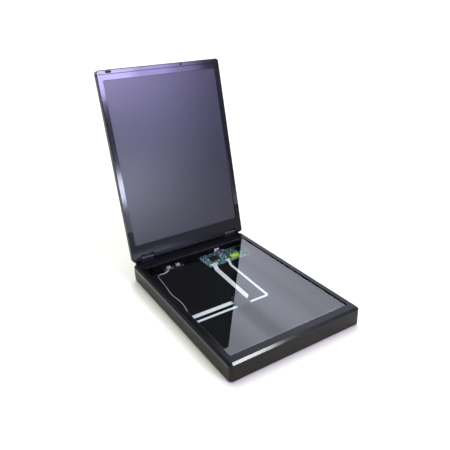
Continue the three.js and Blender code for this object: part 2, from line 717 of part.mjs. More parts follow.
const SOCKET_FRONT = BOARD_FRONT + SOCKET_SETBACK;
const SOCKET_LATCH = 1;

// A flat cable socket: a body with a latch bar along the top and a mouth at the front
function cableSocket(x, width) {
  const half = width / 2;
  const body = block(
    x - half, x + half,
    SOCKET_FRONT, SOCKET_FRONT + SOCKET_DEPTH,
    BOARD_TOP, BOARD_TOP + SOCKET_HEIGHT,
  );
  const step = block(
    x - half + SOCKET_LATCH, x + half - SOCKET_LATCH,
    SOCKET_FRONT - CUT, SOCKET_FRONT + SOCKET_LATCH,
    BOARD_TOP + SOCKET_HEIGHT - SOCKET_LATCH, BOARD_TOP + SOCKET_HEIGHT + CUT,
  );
  return cut(body, step);
}

place('ffc_wide_socket', cableSocket(WIDE_SOCKET_X, WIDE_SOCKET_WIDTH), socketWhite, scanner);
place('ffc_narrow_socket', cableSocket(NARROW_SOCKET_X, NARROW_SOCKET_WIDTH), socketWhite, scanner);
const coilLeft = BOARD_LEFT + COIL_PLACE;
const coilFront = BOARD_FRONT + COIL_SETBACK;
const coilOutline = roundedShape(
  coilLeft, coilLeft + COIL_WIDTH,
  coilFront, coilFront + COIL_DEPTH,
  COIL_EDGE,
);
const tapedCoil = softPlate(coilOutline, BOARD_TOP, BOARD_TOP + COIL_HEIGHT, COIL_EDGE / 2, 1, 2);
place('taped_coil', tapedCoil, tapeYellow, scanner);
const chipHalf = CHIP_SIDE / 2;
place(
  'controller_chip',
  block(
    CHIP_X - chipHalf, CHIP_X + chipHalf,
    CHIP_Y - chipHalf, CHIP_Y + chipHalf,
    BOARD_TOP, BOARD_TOP + CHIP_HEIGHT,
  ),
  chipBlack,
  scanner,
);
place(
  'memory_chip',
  block(
    MEMORY_X - MEMORY_WIDTH / 2, MEMORY_X + MEMORY_WIDTH / 2,
    MEMORY_Y - MEMORY_LENGTH / 2, MEMORY_Y + MEMORY_LENGTH / 2,
    BOARD_TOP, BOARD_TOP + CHIP_HEIGHT,
  ),
  chipBlack,
  scanner,
);

// USB port: a folded sheet shell around its contact tongue, mouth to the back
const USB_TONGUE = 1.2;
const USB_TONGUE_INSET = 1.4;
const USB_MOUTH = INNER_Y + SEAM;

function usbPort() {
  const half = USB_WIDTH / 2;
  const back = USB_MOUTH - USB_LENGTH;
  const z1 = BOARD_TOP + USB_HEIGHT;
  const shell = cut(
    block(USB_X - half, USB_X + half, back, USB_MOUTH, BOARD_TOP, z1),
    block(
      USB_X - half + USB_SHEET, USB_X + half - USB_SHEET,
      back + USB_LENGTH / 4, USB_MOUTH + CUT,
      BOARD_TOP + USB_SHEET, z1 - USB_SHEET,
    ),
  );
  const middle = BOARD_TOP + USB_HEIGHT / 2;
  const tongue = block(
    USB_X - half + USB_TONGUE_INSET, USB_X + half - USB_TONGUE_INSET,
    back + USB_LENGTH / 8, USB_MOUTH - USB_TONGUE,
    middle - USB_TONGUE / 2, middle + USB_TONGUE / 2,
  );
  return join(shell, tongue);
}

place('usb_port', usbPort(), brightSteel, scanner);

// Lamp driver board with two plugs and a wound coil
const PLUG_WIDTH = 8;
const PLUG_DEPTH = 5;
const PLUG_HEIGHT = 4;
const PLUG_INSET = 9;
const WOUND_RADIUS = 4;
const WOUND_HEIGHT = 4.4;
const driverY = DRIVER_BACK - DRIVER_DEPTH / 2;
const driverBoard = board(
  DRIVER_LEFT, DRIVER_RIGHT, DRIVER_BACK - DRIVER_DEPTH, DRIVER_BACK - SEAM, DRIVER_THICKNESS,
  driverPostPlaces.map((x) => [x, driverY]),
);
place('lamp_driver_board', driverBoard, boardGreen, scanner);
const plugPlaces = [
  ['driver_plug_left', DRIVER_LEFT + PLUG_INSET + PLUG_WIDTH / 2],
  ['driver_plug_right', DRIVER_RIGHT - PLUG_INSET - PLUG_WIDTH / 2],
];
for (const [name, x] of plugPlaces) {
  const body = cut(
    block(x - PLUG_WIDTH / 2, x + PLUG_WIDTH / 2, driverY - PLUG_DEPTH / 2, driverY + PLUG_DEPTH / 2,
      DRIVER_TOP, DRIVER_TOP + PLUG_HEIGHT),
    block(x - PLUG_WIDTH / 3, x + PLUG_WIDTH / 3, driverY - PLUG_DEPTH, driverY - PLUG_DEPTH / 3,
      DRIVER_TOP + PLUG_HEIGHT / 2, DRIVER_TOP + PLUG_HEIGHT + CUT),
  );
  place(name, body, socketWhite, scanner);
}
const woundX = (DRIVER_LEFT + DRIVER_RIGHT) / 2;
const WOUND_FLANGE = 0.8;

// A drum coil: two flanges and a slimmer winding between them
function woundCoil() {
  const z1 = DRIVER_TOP + WOUND_HEIGHT;
  return join(
    post(woundX, driverY, DRIVER_TOP, DRIVER_TOP + WOUND_FLANGE, WOUND_RADIUS),
    post(woundX, driverY, DRIVER_TOP, z1, WOUND_RADIUS - WOUND_FLANGE),
    post(woundX, driverY, z1 - WOUND_FLANGE, z1, WOUND_RADIUS),
  );
}

place('driver_coil', woundCoil(), copperRed, scanner);

// Flat cables on the floor: each leaves its socket, drops to the floor and turns left
const CABLE_THICKNESS = 0.3;
const WIDE_CABLE = 12.6;
const NARROW_CABLE = 6.3;
const NARROW_Z = FLOOR + 0.25 * SLIDE_GAP;
const WIDE_Z = NARROW_Z + CABLE_THICKNESS + 0.25 * SLIDE_GAP;
const CABLE_LANE_INSET = 5.75;
const CABLE_LANE_LEFT = ROD_X + CABLE_LANE_INSET;
const CABLE_LANE_RIGHT = CABLE_LANE_LEFT + WIDE_CABLE;
const CABLE_LANE_X = (CABLE_LANE_LEFT + CABLE_LANE_RIGHT) / 2;
const WIDE_TURN_PLACE = 5.6;
const WIDE_TURN_X = BOARD_LEFT + WIDE_TURN_PLACE;
const WIDE_TURN_Y = -7.4;
const NARROW_TURN_PLACE = 38;
const NARROW_TURN_X = BOARD_LEFT + NARROW_TURN_PLACE;
const NARROW_TURN_Y = -22;
const SOCKET_MOUTH = BOARD_TOP + SOCKET_HEIGHT / 2;
const DROP_LENGTH = 9;
const ANCHOR_BACK = 1;

function floorCable(socketX, turnX, turnY, width, z) {
  const start = SOCKET_FRONT - SEAM;
  const lead = SOCKET_SETBACK + SEAM;
  const middle = z + CABLE_THICKNESS / 2;
  const run = new THREE.Vector2(turnX - socketX, turnY - start);
  const side = [
    new THREE.Vector2(0, SOCKET_MOUTH),
    new THREE.Vector2(lead, SOCKET_MOUTH),
    new THREE.Vector2(lead + DROP_LENGTH / 2, (SOCKET_MOUTH + middle) / 2),
    new THREE.Vector2(lead + DROP_LENGTH, middle),
    new THREE.Vector2(run.length() + width / 2, middle),
  ];
  const geometry = new THREE.ExtrudeGeometry(
    bandShape(side, CABLE_THICKNESS),
    { depth: width, bevelEnabled: false },
  );
  const away = new THREE.Vector3(run.x, run.y, 0).normalize();
  const up = new THREE.Vector3(0, 0, 1);
  geometry.translate(0, 0, -width / 2);
  geometry.applyMatrix4(new THREE.Matrix4().makeBasis(away, up, away.clone().cross(up)));
  geometry.translate(socketX, start, 0);

  // The folded stretch lies half a thickness higher: across to the lane, then towards the back
  const half = width / 2;
  const folded = new THREE.Shape();
  folded.moveTo(CABLE_LANE_X - half, turnY - half);
  folded.lineTo(turnX + half, turnY - half);
  folded.lineTo(turnX + half, turnY + half);
  folded.lineTo(CABLE_LANE_X + half, turnY + half);
  folded.lineTo(CABLE_LANE_X + half, ANCHOR_BACK);
  folded.lineTo(CABLE_LANE_X - half, ANCHOR_BACK);
  return join(solidOf(geometry), plate(folded, middle, middle + CABLE_THICKNESS));
}

place(
  'ffc_wide',
  floorCable(WIDE_SOCKET_X, WIDE_TURN_X, WIDE_TURN_Y, WIDE_CABLE, WIDE_Z),
  cableWhite,
  scanner,
);
place(
  'ffc_narrow',
  floorCable(NARROW_SOCKET_X, NARROW_TURN_X, NARROW_TURN_Y, NARROW_CABLE, NARROW_Z),
  cableWhite,
  scanner,
);

// Flat ferrite core over both cables
const CORE_GAP = 4.5;
const CORE_WIDTH = 21;
const CORE_RIGHT = BOARD_LEFT - CORE_GAP;
const CORE_LEFT = CORE_RIGHT - CORE_WIDTH;
const CORE_FRONT = -29.5;
const CORE_BACK = 1.5;
const CORE_HEIGHT = 6;
const CORE_LEG = 2;
const CORE_EDGE = 1;
const CORE_SLOT = WIDE_Z + 2 * CABLE_THICKNESS;
const coreOutline = roundedShape(CORE_LEFT, CORE_RIGHT, CORE_FRONT, CORE_BACK, CORE_EDGE);
const core = cut(
  softPlate(coreOutline, FLOOR, FLOOR + CORE_HEIGHT, CORE_EDGE / 2, 1, 2),
  block(CORE_LEFT - CUT, CORE_RIGHT + CUT, CORE_FRONT + CORE_LEG, CORE_BACK - CORE_LEG, 0, CORE_SLOT),
);
place('ferrite_core', core, ferriteBlack, scanner);

// Anchor that clamps the cables where they turn into the carriage's lane
const ANCHOR_FOOT = 2;
const ANCHOR_END = 1.1;
const ANCHOR_LEFT = CABLE_LANE_LEFT - ANCHOR_FOOT;
const ANCHOR_RIGHT = CABLE_LANE_RIGHT + ANCHOR_END;
const ANCHOR_FRONT = -31;
const ANCHOR_TOP = 4.3;
const anchorUnder = WIDE_Z + 2 * CABLE_THICKNESS;
const anchorFootRight = CABLE_LANE_LEFT - SEAM;
const anchor = cut(
  block(ANCHOR_LEFT, ANCHOR_RIGHT, ANCHOR_FRONT, ANCHOR_BACK, FLOOR, ANCHOR_TOP),
  block(anchorFootRight, ANCHOR_RIGHT + CUT, ANCHOR_FRONT + CORE_LEG, ANCHOR_BACK + CUT, 0, anchorUnder),
);
place('cable_anchor', anchor, chipBlack, scanner);

// Thin lead from the lamp driver along the left side to the anchor
const WIRE_RADIUS = 0.7;
const WIRE_Z = FLOOR + WIRE_RADIUS + 0.25 * SLIDE_GAP;
const WIRE_BEND = 2.3;
const wireStart = new THREE.Vector3(
  plugPlaces[0][1],
  driverY - PLUG_DEPTH / 2 - SEAM,
  DRIVER_TOP + PLUG_HEIGHT / 3,
);
const wireEnd = new THREE.Vector3(ANCHOR_RIGHT + SEAM + WIRE_RADIUS, ANCHOR_BACK / 2, WIRE_Z);
const wireDrop = WIRE_Z - wireStart.z;

// Where the lead bends, as shares of the way from its plug to the anchor: across, along and down
const wireShares = [
  [0.1266, 0.0377, 0.294],
  [0.3291, 0.0441, 0.846],
  [0.557, 0.0377, 1],
  [0.6962, 0.0601, 1],
  [0.7291, 0.14, 1],
  [0.8101, 0.3382, 1],
  [0.881, 0.5301, 1],
  [0.8253, 0.6963, 1],
  [0.8456, 0.8242, 1],
  [0.9418, 0.9393, 1],
];
const wirePoints = [
  wireStart,
  new THREE.Vector3(wireStart.x, wireStart.y - WIRE_BEND, wireStart.z),
  ...wireShares.map(([across, along, down]) => new THREE.Vector3(
    wireStart.x + (wireEnd.x - wireStart.x) * across,
    wireStart.y + (wireEnd.y - wireStart.y) * along,
    wireStart.z + wireDrop * down,
  )),
  wireEnd,
];

function wire() {
  const route = new THREE.CatmullRomCurve3(wirePoints, false, 'centripetal');
  const geometry = new THREE.ExtrudeGeometry(ringShape(WIRE_RADIUS, 6), { steps: 34, extrudePath: route });
  return solidOf(geometry);
}

place('lamp_lead', wire(), wireGrey, scanner);

// Hinge brackets on the back wall, each with two ears and a pin

function hingeBracket(x) {
  const neckBack = BASE_Y + NECK_THICKNESS;
  const profile = new THREE.Shape();
  profile.moveTo(BASE_Y, FOOT_PLATE_BOTTOM);
  profile.lineTo(BASE_Y + FOOT_PLATE_THICKNESS, FOOT_PLATE_BOTTOM);
  profile.lineTo(neckBack, FOOT_PLATE_BOTTOM + NECK_THICKNESS);
  profile.lineTo(neckBack, HINGE_Z);
  profile.lineTo(BASE_Y, HINGE_Z);
  const ears = [-1, 1].map((side) => {
    const a = x + side * EAR_INNER;
    const b = x + side * EAR_OUTER;
    const x0 = Math.min(a, b);
    const x1 = Math.max(a, b);
    return join(prismX(profile, x0, x1), barX(x0, x1, HINGE_Y, HINGE_Z, EAR_RADIUS));
  });
  const footPlate = block(
    x - EAR_OUTER, x + EAR_OUTER,
    BASE_Y, BASE_Y + FOOT_PLATE_THICKNESS,
    FOOT_PLATE_BOTTOM, BASE_HEIGHT - TOP_CHAMFER,
  );
  return cut(
    join(footPlate, ...ears),
    barX(x - EAR_OUTER - CUT, x + EAR_OUTER + CUT, HINGE_Y, HINGE_Z, PIN_RADIUS + RUNNING),
  );
}

for (const [side, x] of [['left', -HINGE_X], ['right', HINGE_X]]) {
  place(`hinge_bracket_${side}`, hingeBracket(x), darkSteel, scanner);
  const pin = barX(x - EAR_OUTER - PIN_END, x + EAR_OUTER + PIN_END, HINGE_Y, HINGE_Z, PIN_RADIUS);
  place(`hinge_pin_${side}`, pin, brightSteel, scanner);
}

// Carriage: everything below is placed from the carriage's middle at its home position
const carriage = new THREE.Group();
carriage.name = 'carriage';
carriage.position.set(0, HOME_Y, 0);
scanner.add(carriage);

const TRAY_BOTTOM = 12.4;
const TRAY_FLOOR = 1.6;
const TRAY_WALL = 1.2;
const TRAY_TOP = 22;
const TRAY_RIGHT_GAP = 7.3;
const CIS_BOTTOM_GAP = 1.2;
const CIS_TOP = 25.2;
const CIS_CLEARANCE = 0.4;
const CIS_READ_OFFSET = -3.5;
const TRAY_LEFT = ROD_X + BEARING_HALF;
const TRAY_RIGHT = INNER_X - TRAY_RIGHT_GAP;
const TRAY_DECK = TRAY_BOTTOM + TRAY_FLOOR;
const CIS_LEFT = TRAY_LEFT + TRAY_WALL + CIS_CLEARANCE;
const CIS_RIGHT = TRAY_RIGHT - TRAY_WALL - CIS_CLEARANCE;
const CIS_HALF = CARRIAGE_HALF - TRAY_WALL - CIS_CLEARANCE;
const CIS_BOTTOM = TRAY_DECK + CIS_BOTTOM_GAP;

// Gear levels under the tray
const POST_RADIUS = 1.25;
const POST_SHOULDER = 1.9;
const SNAP_RADIUS = 1.7;
const SNAP_HEIGHT = 0.35;
const PINION_BOTTOM = 4.9;
const DRIVE_GEAR_BOTTOM = 8.6;
const DRIVE_GEAR_TOP = 10.5;
const IDLER_PINION_BOTTOM = 8.7;
const IDLER_GEAR_BOTTOM = 10.9;
const IDLER_GEAR_TOP = 12;
const GEAR_PLAY = 0.1;
const MOTOR_RADIUS = 8;
const MOTOR_BOTTOM = 4.9;
const MOTOR_CAN_TOP = 10;
const MOTOR_FLANGE_TOP = 10.6;
const MOTOR_SHAFT_RADIUS = 0.75;
const MOTOR_EAR_Y = 9.4;
const MOTOR_EAR_RADIUS = 1.6;
const BUSH_LENGTH = 6.6;
const BUSH_RADIUS = 3.65;
const BEARING_TOP = ROD_HEIGHT + BEARING_HALF;
const BEARING_BOTTOM = ROD_HEIGHT - BEARING_HALF;
const SPRING_INSET = 49.8;
const SPRING_X = INNER_X - SPRING_INSET;

function carriageFrame() {
  const half = CARRIAGE_HALF;
  let frame = cut(
    block(TRAY_LEFT, TRAY_RIGHT, -half, half, TRAY_BOTTOM, TRAY_TOP),
    block(
      TRAY_LEFT + TRAY_WALL, TRAY_RIGHT - TRAY_WALL,
      -half + TRAY_WALL, half - TRAY_WALL,
      TRAY_DECK, TRAY_TOP + CUT,
    ),
  );

  // Bearing block around the guide rod, with a pocket for a bush at each end
  const bearing = block(
    ROD_X - BEARING_HALF, TRAY_LEFT + TRAY_WALL / 2,
    -half, half,
    BEARING_BOTTOM, BEARING_TOP,
  );
  frame = cut(
    join(frame, bearing),
    barY(-half - CUT, half + CUT, ROD_X, ROD_HEIGHT, ROD_RADIUS + SEAM),
    barY(-half - CUT, -half + BUSH_LENGTH, ROD_X, ROD_HEIGHT, BUSH_RADIUS + RUNNING),
    barY(half - BUSH_LENGTH, half + CUT, ROD_X, ROD_HEIGHT, BUSH_RADIUS + RUNNING),
  );

  // Posts that the gears turn on, each with a shoulder above and a snap head below
  const gearPost = (x, gearBottom, gearTop) => join(
    post(x, 0, gearTop + GEAR_PLAY, TRAY_DECK - TRAY_FLOOR / 2, POST_SHOULDER),
    post(x, 0, gearBottom - GEAR_PLAY - SNAP_HEIGHT, TRAY_DECK - TRAY_FLOOR / 2, POST_RADIUS),
    post(x, 0, gearBottom - GEAR_PLAY - SNAP_HEIGHT, gearBottom - GEAR_PLAY, SNAP_RADIUS),
  );
  frame = join(
    frame,
    gearPost(DRIVE_X, PINION_BOTTOM, DRIVE_GEAR_TOP),
    gearPost(IDLER_X, IDLER_PINION_BOTTOM, IDLER_GEAR_TOP),
  );

  // Motor posts, and a spigot that centres each spring
  const inDeck = TRAY_DECK - TRAY_FLOOR / 2;
  for (const side of [-1, 1]) {
    frame = join(
      frame,
      post(MOTOR_X, side * MOTOR_EAR_Y, MOTOR_FLANGE_TOP, inDeck, MOTOR_EAR_RADIUS, 12),
      post(side * SPRING_X, 0, inDeck, TRAY_DECK + SPRING_SPIGOT, SPRING_SPIGOT_RADIUS, 12),
    );
  }
  return frame;
}

// Springs that press the sensor bar up against the glass
const SPRING_RADIUS = 2.5;
const SPRING_WIRE = 0.32;
const SPRING_TURNS = 4;
const SPRING_STEPS = 8;
const SPRING_POCKET_RADIUS = 3.3;
const SPRING_POCKET = 3.8;
const SPRING_SPIGOT = 2.4;
const SPRING_SPIGOT_RADIUS = 1.6;

// Sensor bar with its long glass and a slider pad at each end
const CIS_GLASS_WIDTH = 9;
const CIS_GLASS_THICKNESS = 1.2;
const CIS_GLASS_PROUD = 0.3;
const CIS_END = 6;
const PAD_LENGTH = 4.4;
const PAD_HALF = 6.5;
const PAD_SINK = 0.8;
const PAD_TOP = GLASS_BOTTOM - SEAM;
const CIS_SLOT = 0.7;

function sensorBar() {
  const glassY0 = CIS_READ_OFFSET - CIS_GLASS_WIDTH / 2;
  const glassY1 = CIS_READ_OFFSET + CIS_GLASS_WIDTH / 2;
  let bar = block(CIS_LEFT, CIS_RIGHT, -CIS_HALF, CIS_HALF, CIS_BOTTOM, CIS_TOP);
  const glassSeat = CIS_TOP - CIS_GLASS_THICKNESS + CIS_GLASS_PROUD;
  bar = cut(
    bar,
    block(
      CIS_LEFT + CIS_END - SEAM, CIS_RIGHT - CIS_END + SEAM,
      glassY0 - SEAM, glassY1 + SEAM,
      glassSeat, CIS_TOP + CUT,
    ),
    block(
      CIS_LEFT + CIS_END + CIS_SLOT, CIS_RIGHT - CIS_END - CIS_SLOT,
      CIS_READ_OFFSET - CIS_SLOT, CIS_READ_OFFSET + CIS_SLOT,
      glassSeat - CIS_END / 2, CIS_TOP,
    ),
  );
  for (const side of [-1, 1]) {
    bar = cut(bar, post(side * SPRING_X, 0, 0, CIS_BOTTOM + SPRING_POCKET, SPRING_POCKET_RADIUS));
    const padX = side < 0 ? CIS_LEFT : CIS_RIGHT - PAD_LENGTH;
    bar = cut(
      bar,
      block(
        padX - SEAM, padX + PAD_LENGTH + SEAM,
        -PAD_HALF - SEAM, PAD_HALF + SEAM,
        CIS_TOP - PAD_SINK, CIS_TOP + CUT,
      ),
    );
  }
  return bar;
}

place('carriage_frame', carriageFrame(), rackPlastic, carriage);
place('sensor_bar', sensorBar(), chipBlack, carriage);
const sensorGlassBottom = CIS_TOP - CIS_GLASS_THICKNESS + CIS_GLASS_PROUD;
place(
  'sensor_glass',
  block(
    CIS_LEFT + CIS_END, CIS_RIGHT - CIS_END,
    CIS_READ_OFFSET - CIS_GLASS_WIDTH / 2, CIS_READ_OFFSET + CIS_GLASS_WIDTH / 2,
    sensorGlassBottom, sensorGlassBottom + CIS_GLASS_THICKNESS,
  ),
  clearGlass,
  carriage,
);

// A slider pad with a ramp at its front and back edges
function sliderPad(x) {
  const profile = new THREE.Shape();
  profile.moveTo(-PAD_HALF, CIS_TOP - PAD_SINK);
  profile.lineTo(PAD_HALF, CIS_TOP - PAD_SINK);
  profile.lineTo(PAD_HALF, CIS_TOP);
  profile.lineTo(PAD_HALF - PAD_SINK, PAD_TOP);
  profile.lineTo(-PAD_HALF + PAD_SINK, PAD_TOP);
  profile.lineTo(-PAD_HALF, CIS_TOP);
  return prismX(profile, x, x + PAD_LENGTH);
}

place('slider_pad_left', sliderPad(CIS_LEFT), gearPlastic, carriage);
place('slider_pad_right', sliderPad(CIS_RIGHT - PAD_LENGTH), gearPlastic, carriage);

function bush(y0) {
  const ring = barY(y0, y0 + BUSH_LENGTH - SEAM, ROD_X, ROD_HEIGHT, BUSH_RADIUS);
  return cut(ring, barY(y0 - CUT, y0 + BUSH_LENGTH + CUT, ROD_X, ROD_HEIGHT, ROD_RADIUS + RUNNING));
}

place('rod_bush_front', bush(-CARRIAGE_HALF), gearPlastic, carriage);
place('rod_bush_back', bush(CARRIAGE_HALF - BUSH_LENGTH + SEAM), gearPlastic, carriage);

function coilSpring(x) {
  const bottom = TRAY_DECK + SPRING_WIRE + SEAM / 3;
  const top = CIS_BOTTOM + SPRING_POCKET - SPRING_WIRE - SEAM / 3;
  const points = [];
  for (let i = 0; i <= SPRING_TURNS * SPRING_STEPS; i++) {
    const angle = (2 * Math.PI * i) / SPRING_STEPS;
    const rise = i / (SPRING_TURNS * SPRING_STEPS);
    points.push(new THREE.Vector3(
      x + SPRING_RADIUS * Math.cos(angle),
      SPRING_RADIUS * Math.sin(angle),
      bottom + (top - bottom) * rise,
    ));
  }
  const route = new THREE.CatmullRomCurve3(points);
  const steps = SPRING_TURNS * SPRING_STEPS;
  const geometry = new THREE.ExtrudeGeometry(ringShape(SPRING_WIRE, 5), { steps, extrudePath: route });
  return solidOf(geometry);
}

place('sensor_spring_left', coilSpring(-SPRING_X), brightSteel, carriage);
place('sensor_spring_right', coilSpring(SPRING_X), brightSteel, carriage);

// Flat stepper motor with its flange and shaft
function motor() {
  const flange = new THREE.Shape();
  flange.moveTo(MOTOR_EAR_RADIUS, -MOTOR_EAR_Y);
  flange.absarc(0, MOTOR_EAR_Y, MOTOR_EAR_RADIUS, 0, Math.PI);
  flange.absarc(0, -MOTOR_EAR_Y, MOTOR_EAR_RADIUS, Math.PI, 2 * Math.PI);
  const ears = plate(flange, MOTOR_CAN_TOP - GEAR_PLAY, MOTOR_FLANGE_TOP, 4).translate([MOTOR_X, 0, 0]);
  return join(
    post(MOTOR_X, 0, MOTOR_BOTTOM, MOTOR_FLANGE_TOP, MOTOR_RADIUS, 24),
    ears,
    post(MOTOR_X, 0, MOTOR_CAN_TOP, IDLER_GEAR_TOP + GEAR_PLAY, MOTOR_SHAFT_RADIUS, 12),
  );
}

place('stepper_motor', motor(), brightSteel, carriage);

const motorPinion = plate(
  gearShape(MOTOR_TEETH, GEAR_MODULE, MOTOR_SHAFT_RADIUS + RUNNING, Math.PI / MOTOR_TEETH),
  IDLER_GEAR_BOTTOM,
  IDLER_GEAR_TOP,
);
place('motor_pinion', motorPinion.translate([MOTOR_X, 0, 0]), gearPlastic, carriage);

const GEAR_BORE = POST_RADIUS + RUNNING;
const idlerTurn = Math.PI / IDLER_PINION_TEETH;
const idler = join(
  plate(
    gearShape(IDLER_PINION_TEETH, GEAR_MODULE, GEAR_BORE, idlerTurn),
    IDLER_PINION_BOTTOM,
    IDLER_GEAR_BOTTOM,
  ),
  plate(gearShape(IDLER_TEETH, GEAR_MODULE, GEAR_BORE), IDLER_GEAR_BOTTOM, IDLER_GEAR_TOP),
);
place('idler_gear', idler.translate([IDLER_X, 0, 0]), gearPlastic, carriage);

const driveGear = join(
  plate(gearShape(RACK_TEETH_PINION, RACK_MODULE, GEAR_BORE), PINION_BOTTOM, DRIVE_GEAR_BOTTOM),
  plate(gearShape(DRIVE_TEETH, GEAR_MODULE, GEAR_BORE), DRIVE_GEAR_BOTTOM, DRIVE_GEAR_TOP),
);
place('drive_gear', driveGear.translate([DRIVE_X, 0, 0]), gearPlastic, carriage);

// Moving ends of the flat cables: out of the anchor, round a loop and back to the carriage
const LOOP_AHEAD = 10;
const LOOP_STEPS = 10;

function cableLoop(width, floorZ, topZ) {
  const low = floorZ + CABLE_THICKNESS / 2;
  const high = topZ - CABLE_THICKNESS / 2;
  const radius = (high - low) / 2;
  const turnY = ANCHOR_BACK + LOOP_AHEAD;
  const middle = [new THREE.Vector2(ANCHOR_BACK + SEAM, low)];
  for (let i = 0; i <= LOOP_STEPS; i++) {
    const angle = -Math.PI / 2 + (Math.PI * i) / LOOP_STEPS;
    middle.push(new THREE.Vector2(
      turnY + radius * Math.cos(angle),
      (low + high) / 2 + radius * Math.sin(angle),
    ));
  }
  middle.push(new THREE.Vector2(HOME_Y + CARRIAGE_HALF + SEAM, high));
  return prismX(bandShape(middle, CABLE_THICKNESS), CABLE_LANE_X - width / 2, CABLE_LANE_X + width / 2);
}

const OUTER_LOOP_TOP = TRAY_DECK - SLIDE_GAP;
const INNER_LOOP_TOP = OUTER_LOOP_TOP - (WIDE_Z - NARROW_Z);
place('ffc_wide_loop', cableLoop(WIDE_CABLE, WIDE_Z, INNER_LOOP_TOP), cableWhite, scanner);
place('ffc_narrow_loop', cableLoop(NARROW_CABLE, NARROW_Z, OUTER_LOOP_TOP), cableWhite, scanner);

// Lid: drawn shut, with the hinge axis as its origin, then turned open
const lid = new THREE.Group();
lid.name = 'lid';
lid.position.set(0, HINGE_Y, HINGE_Z);
lid.rotation.x = -(OPEN_ANGLE * Math.PI) / 180;
scanner.add(lid);

const LID_HALF = LID_THICKNESS / 2;
const LID_FRONT = -(HINGE_Y + BASE_Y + LID_OVERHANG);
const LID_SPLIT = LID_HALF - LID_SHELL_DEPTH;
const SHELL_EDGE = LID_SPLIT + SEAM / 2;
const BEZEL_EDGE = LID_SPLIT - SEAM / 2;
const NOTCH_FRONT = -(EAR_RADIUS + 1.5 * LID_GAP);
const LID_SOLID_END = -9;
const PANEL_RECESS = 1.4;
const PANEL_LAP = 3;
const PANEL_THICKNESS = 1.9;
const OPENING_X = BASE_X - LID_SIDE_BEZEL;
const OPENING_FRONT = LID_FRONT + LID_STRIP + LID_TOP_BEZEL;
const OPENING_BACK = -LID_BOTTOM_BEZEL;
const PANEL_FACE = -LID_HALF + PANEL_RECESS + SEAM;
const ARM_HALF = 5.2;
const ARM_THICKNESS = 2.4;
const ARM_LENGTH = 38;
const ARM_HOLE_RADIUS = 1.6;
const armHoleShares = [0.5, 0.85];
const LID_RIB_SPACING = 72;

function lidBlank() {
  const outline = roundedShape(-BASE_X, BASE_X, LID_FRONT, LID_HALF, CORNER_RADIUS, LID_REAR_CORNER);
  const slab = softPlate(outline, -LID_HALF, LID_HALF, LID_EDGE_RADIUS, 1);
  const side = new THREE.Shape();
  side.moveTo(LID_FRONT - CUT, -LID_HALF);
  side.lineTo(0, -LID_HALF);
  side.absarc(0, 0, LID_HALF, -Math.PI / 2, Math.PI / 2);
  side.lineTo(LID_FRONT - CUT, LID_HALF);
  return slab.intersect(prismX(side, -BASE_X - CUT, BASE_X + CUT, 6));
}

// A tool that keeps one layer and one stretch of the lid
function layer(y0, y1, z0, z1) {
  return block(-BASE_X - CUT, BASE_X + CUT, y0, y1, z0, z1);
}

function hingeNotches() {
  return join(...[-HINGE_X, HINGE_X].map((x) => block(
    x - NOTCH_HALF, x + NOTCH_HALF, NOTCH_FRONT, LID_HALF + CUT, -LID_THICKNESS, LID_THICKNESS,
  )));
}

const blank = lidBlank();

function lidShell() {
  const top = LID_HALF - LID_SKIN;
  const corner = CORNER_RADIUS - LID_SKIN;
  const hollow = roundedShape(
    -BASE_X + LID_SKIN, BASE_X - LID_SKIN, LID_FRONT + LID_SKIN, LID_SOLID_END, corner,
  );
  let shell = blank.intersect(layer(LID_FRONT - CUT, LID_HALF + CUT, SHELL_EDGE, LID_THICKNESS));
  shell = cut(shell, plate(hollow, -LID_THICKNESS, top));

  // Ribs stiffen the cover and back the panel
  const ribBottom = PANEL_FACE + PANEL_THICKNESS + SEAM;
  const ribFront = OPENING_FRONT;
  const ribX = OPENING_X - LID_SKIN;
  for (let x = -LID_RIB_SPACING; x <= LID_RIB_SPACING; x += LID_RIB_SPACING) {
    shell = join(shell, block(x, x + RIB, ribFront, OPENING_BACK, ribBottom, top + LID_SKIN / 2));
  }
  for (let y = OPENING_BACK - LID_RIB_SPACING; y > OPENING_FRONT; y -= LID_RIB_SPACING) {
    shell = join(shell, block(-ribX, ribX, y, y + RIB, ribBottom, top + LID_SKIN / 2));
  }

  // Seats and pegs for the hinge arms
  for (const x of [-HINGE_X, HINGE_X]) {
    for (const share of armHoleShares) {
      const y = -ARM_LENGTH * share;
      shell = join(
        shell,
        post(x, y, ARM_THICKNESS / 2 + SEAM, top + LID_SKIN / 2, ARM_HOLE_RADIUS + LID_SKIN, 12),
        post(x, y, -ARM_THICKNESS / 2, top, ARM_HOLE_RADIUS - SEAM, 8),
      );
    }
    const slot = ARM_THICKNESS / 2 + SEAM;
    shell = cut(shell, block(x - ARM_HALF - SEAM, x + ARM_HALF + SEAM, LID_SOLID_END - CUT, 0, -slot, slot));
  }
  return cut(shell, hingeNotches());
}

function bezelLayer(y0, y1) {
  const opening = roundedShape(-OPENING_X, OPENING_X, OPENING_FRONT, OPENING_BACK, WINDOW_CORNER);
  const rebate = block(
    -OPENING_X - PANEL_LAP, OPENING_X + PANEL_LAP,
    OPENING_FRONT - PANEL_LAP, OPENING_BACK + PANEL_LAP,
    -LID_HALF + PANEL_RECESS, LID_THICKNESS,
  );
  return cut(
    blank.intersect(layer(y0, y1, -LID_THICKNESS, BEZEL_EDGE)),
    plate(opening, -LID_THICKNESS, LID_THICKNESS, 3),
    rebate,
  );
}

place('lid_shell', lidShell(), lidPlastic, lid);
const seamY = -LID_SEAM_HEIGHT;
const stripY = LID_FRONT + LID_STRIP;
place('lid_bezel', bezelLayer(stripY + SEAM / 2, seamY - SEAM / 2), glossPlastic, lid);
const hingeCover = cut(bezelLayer(seamY + SEAM / 2, LID_HALF + CUT), hingeNotches());
place('lid_hinge_cover', hingeCover, glossPlastic, lid);

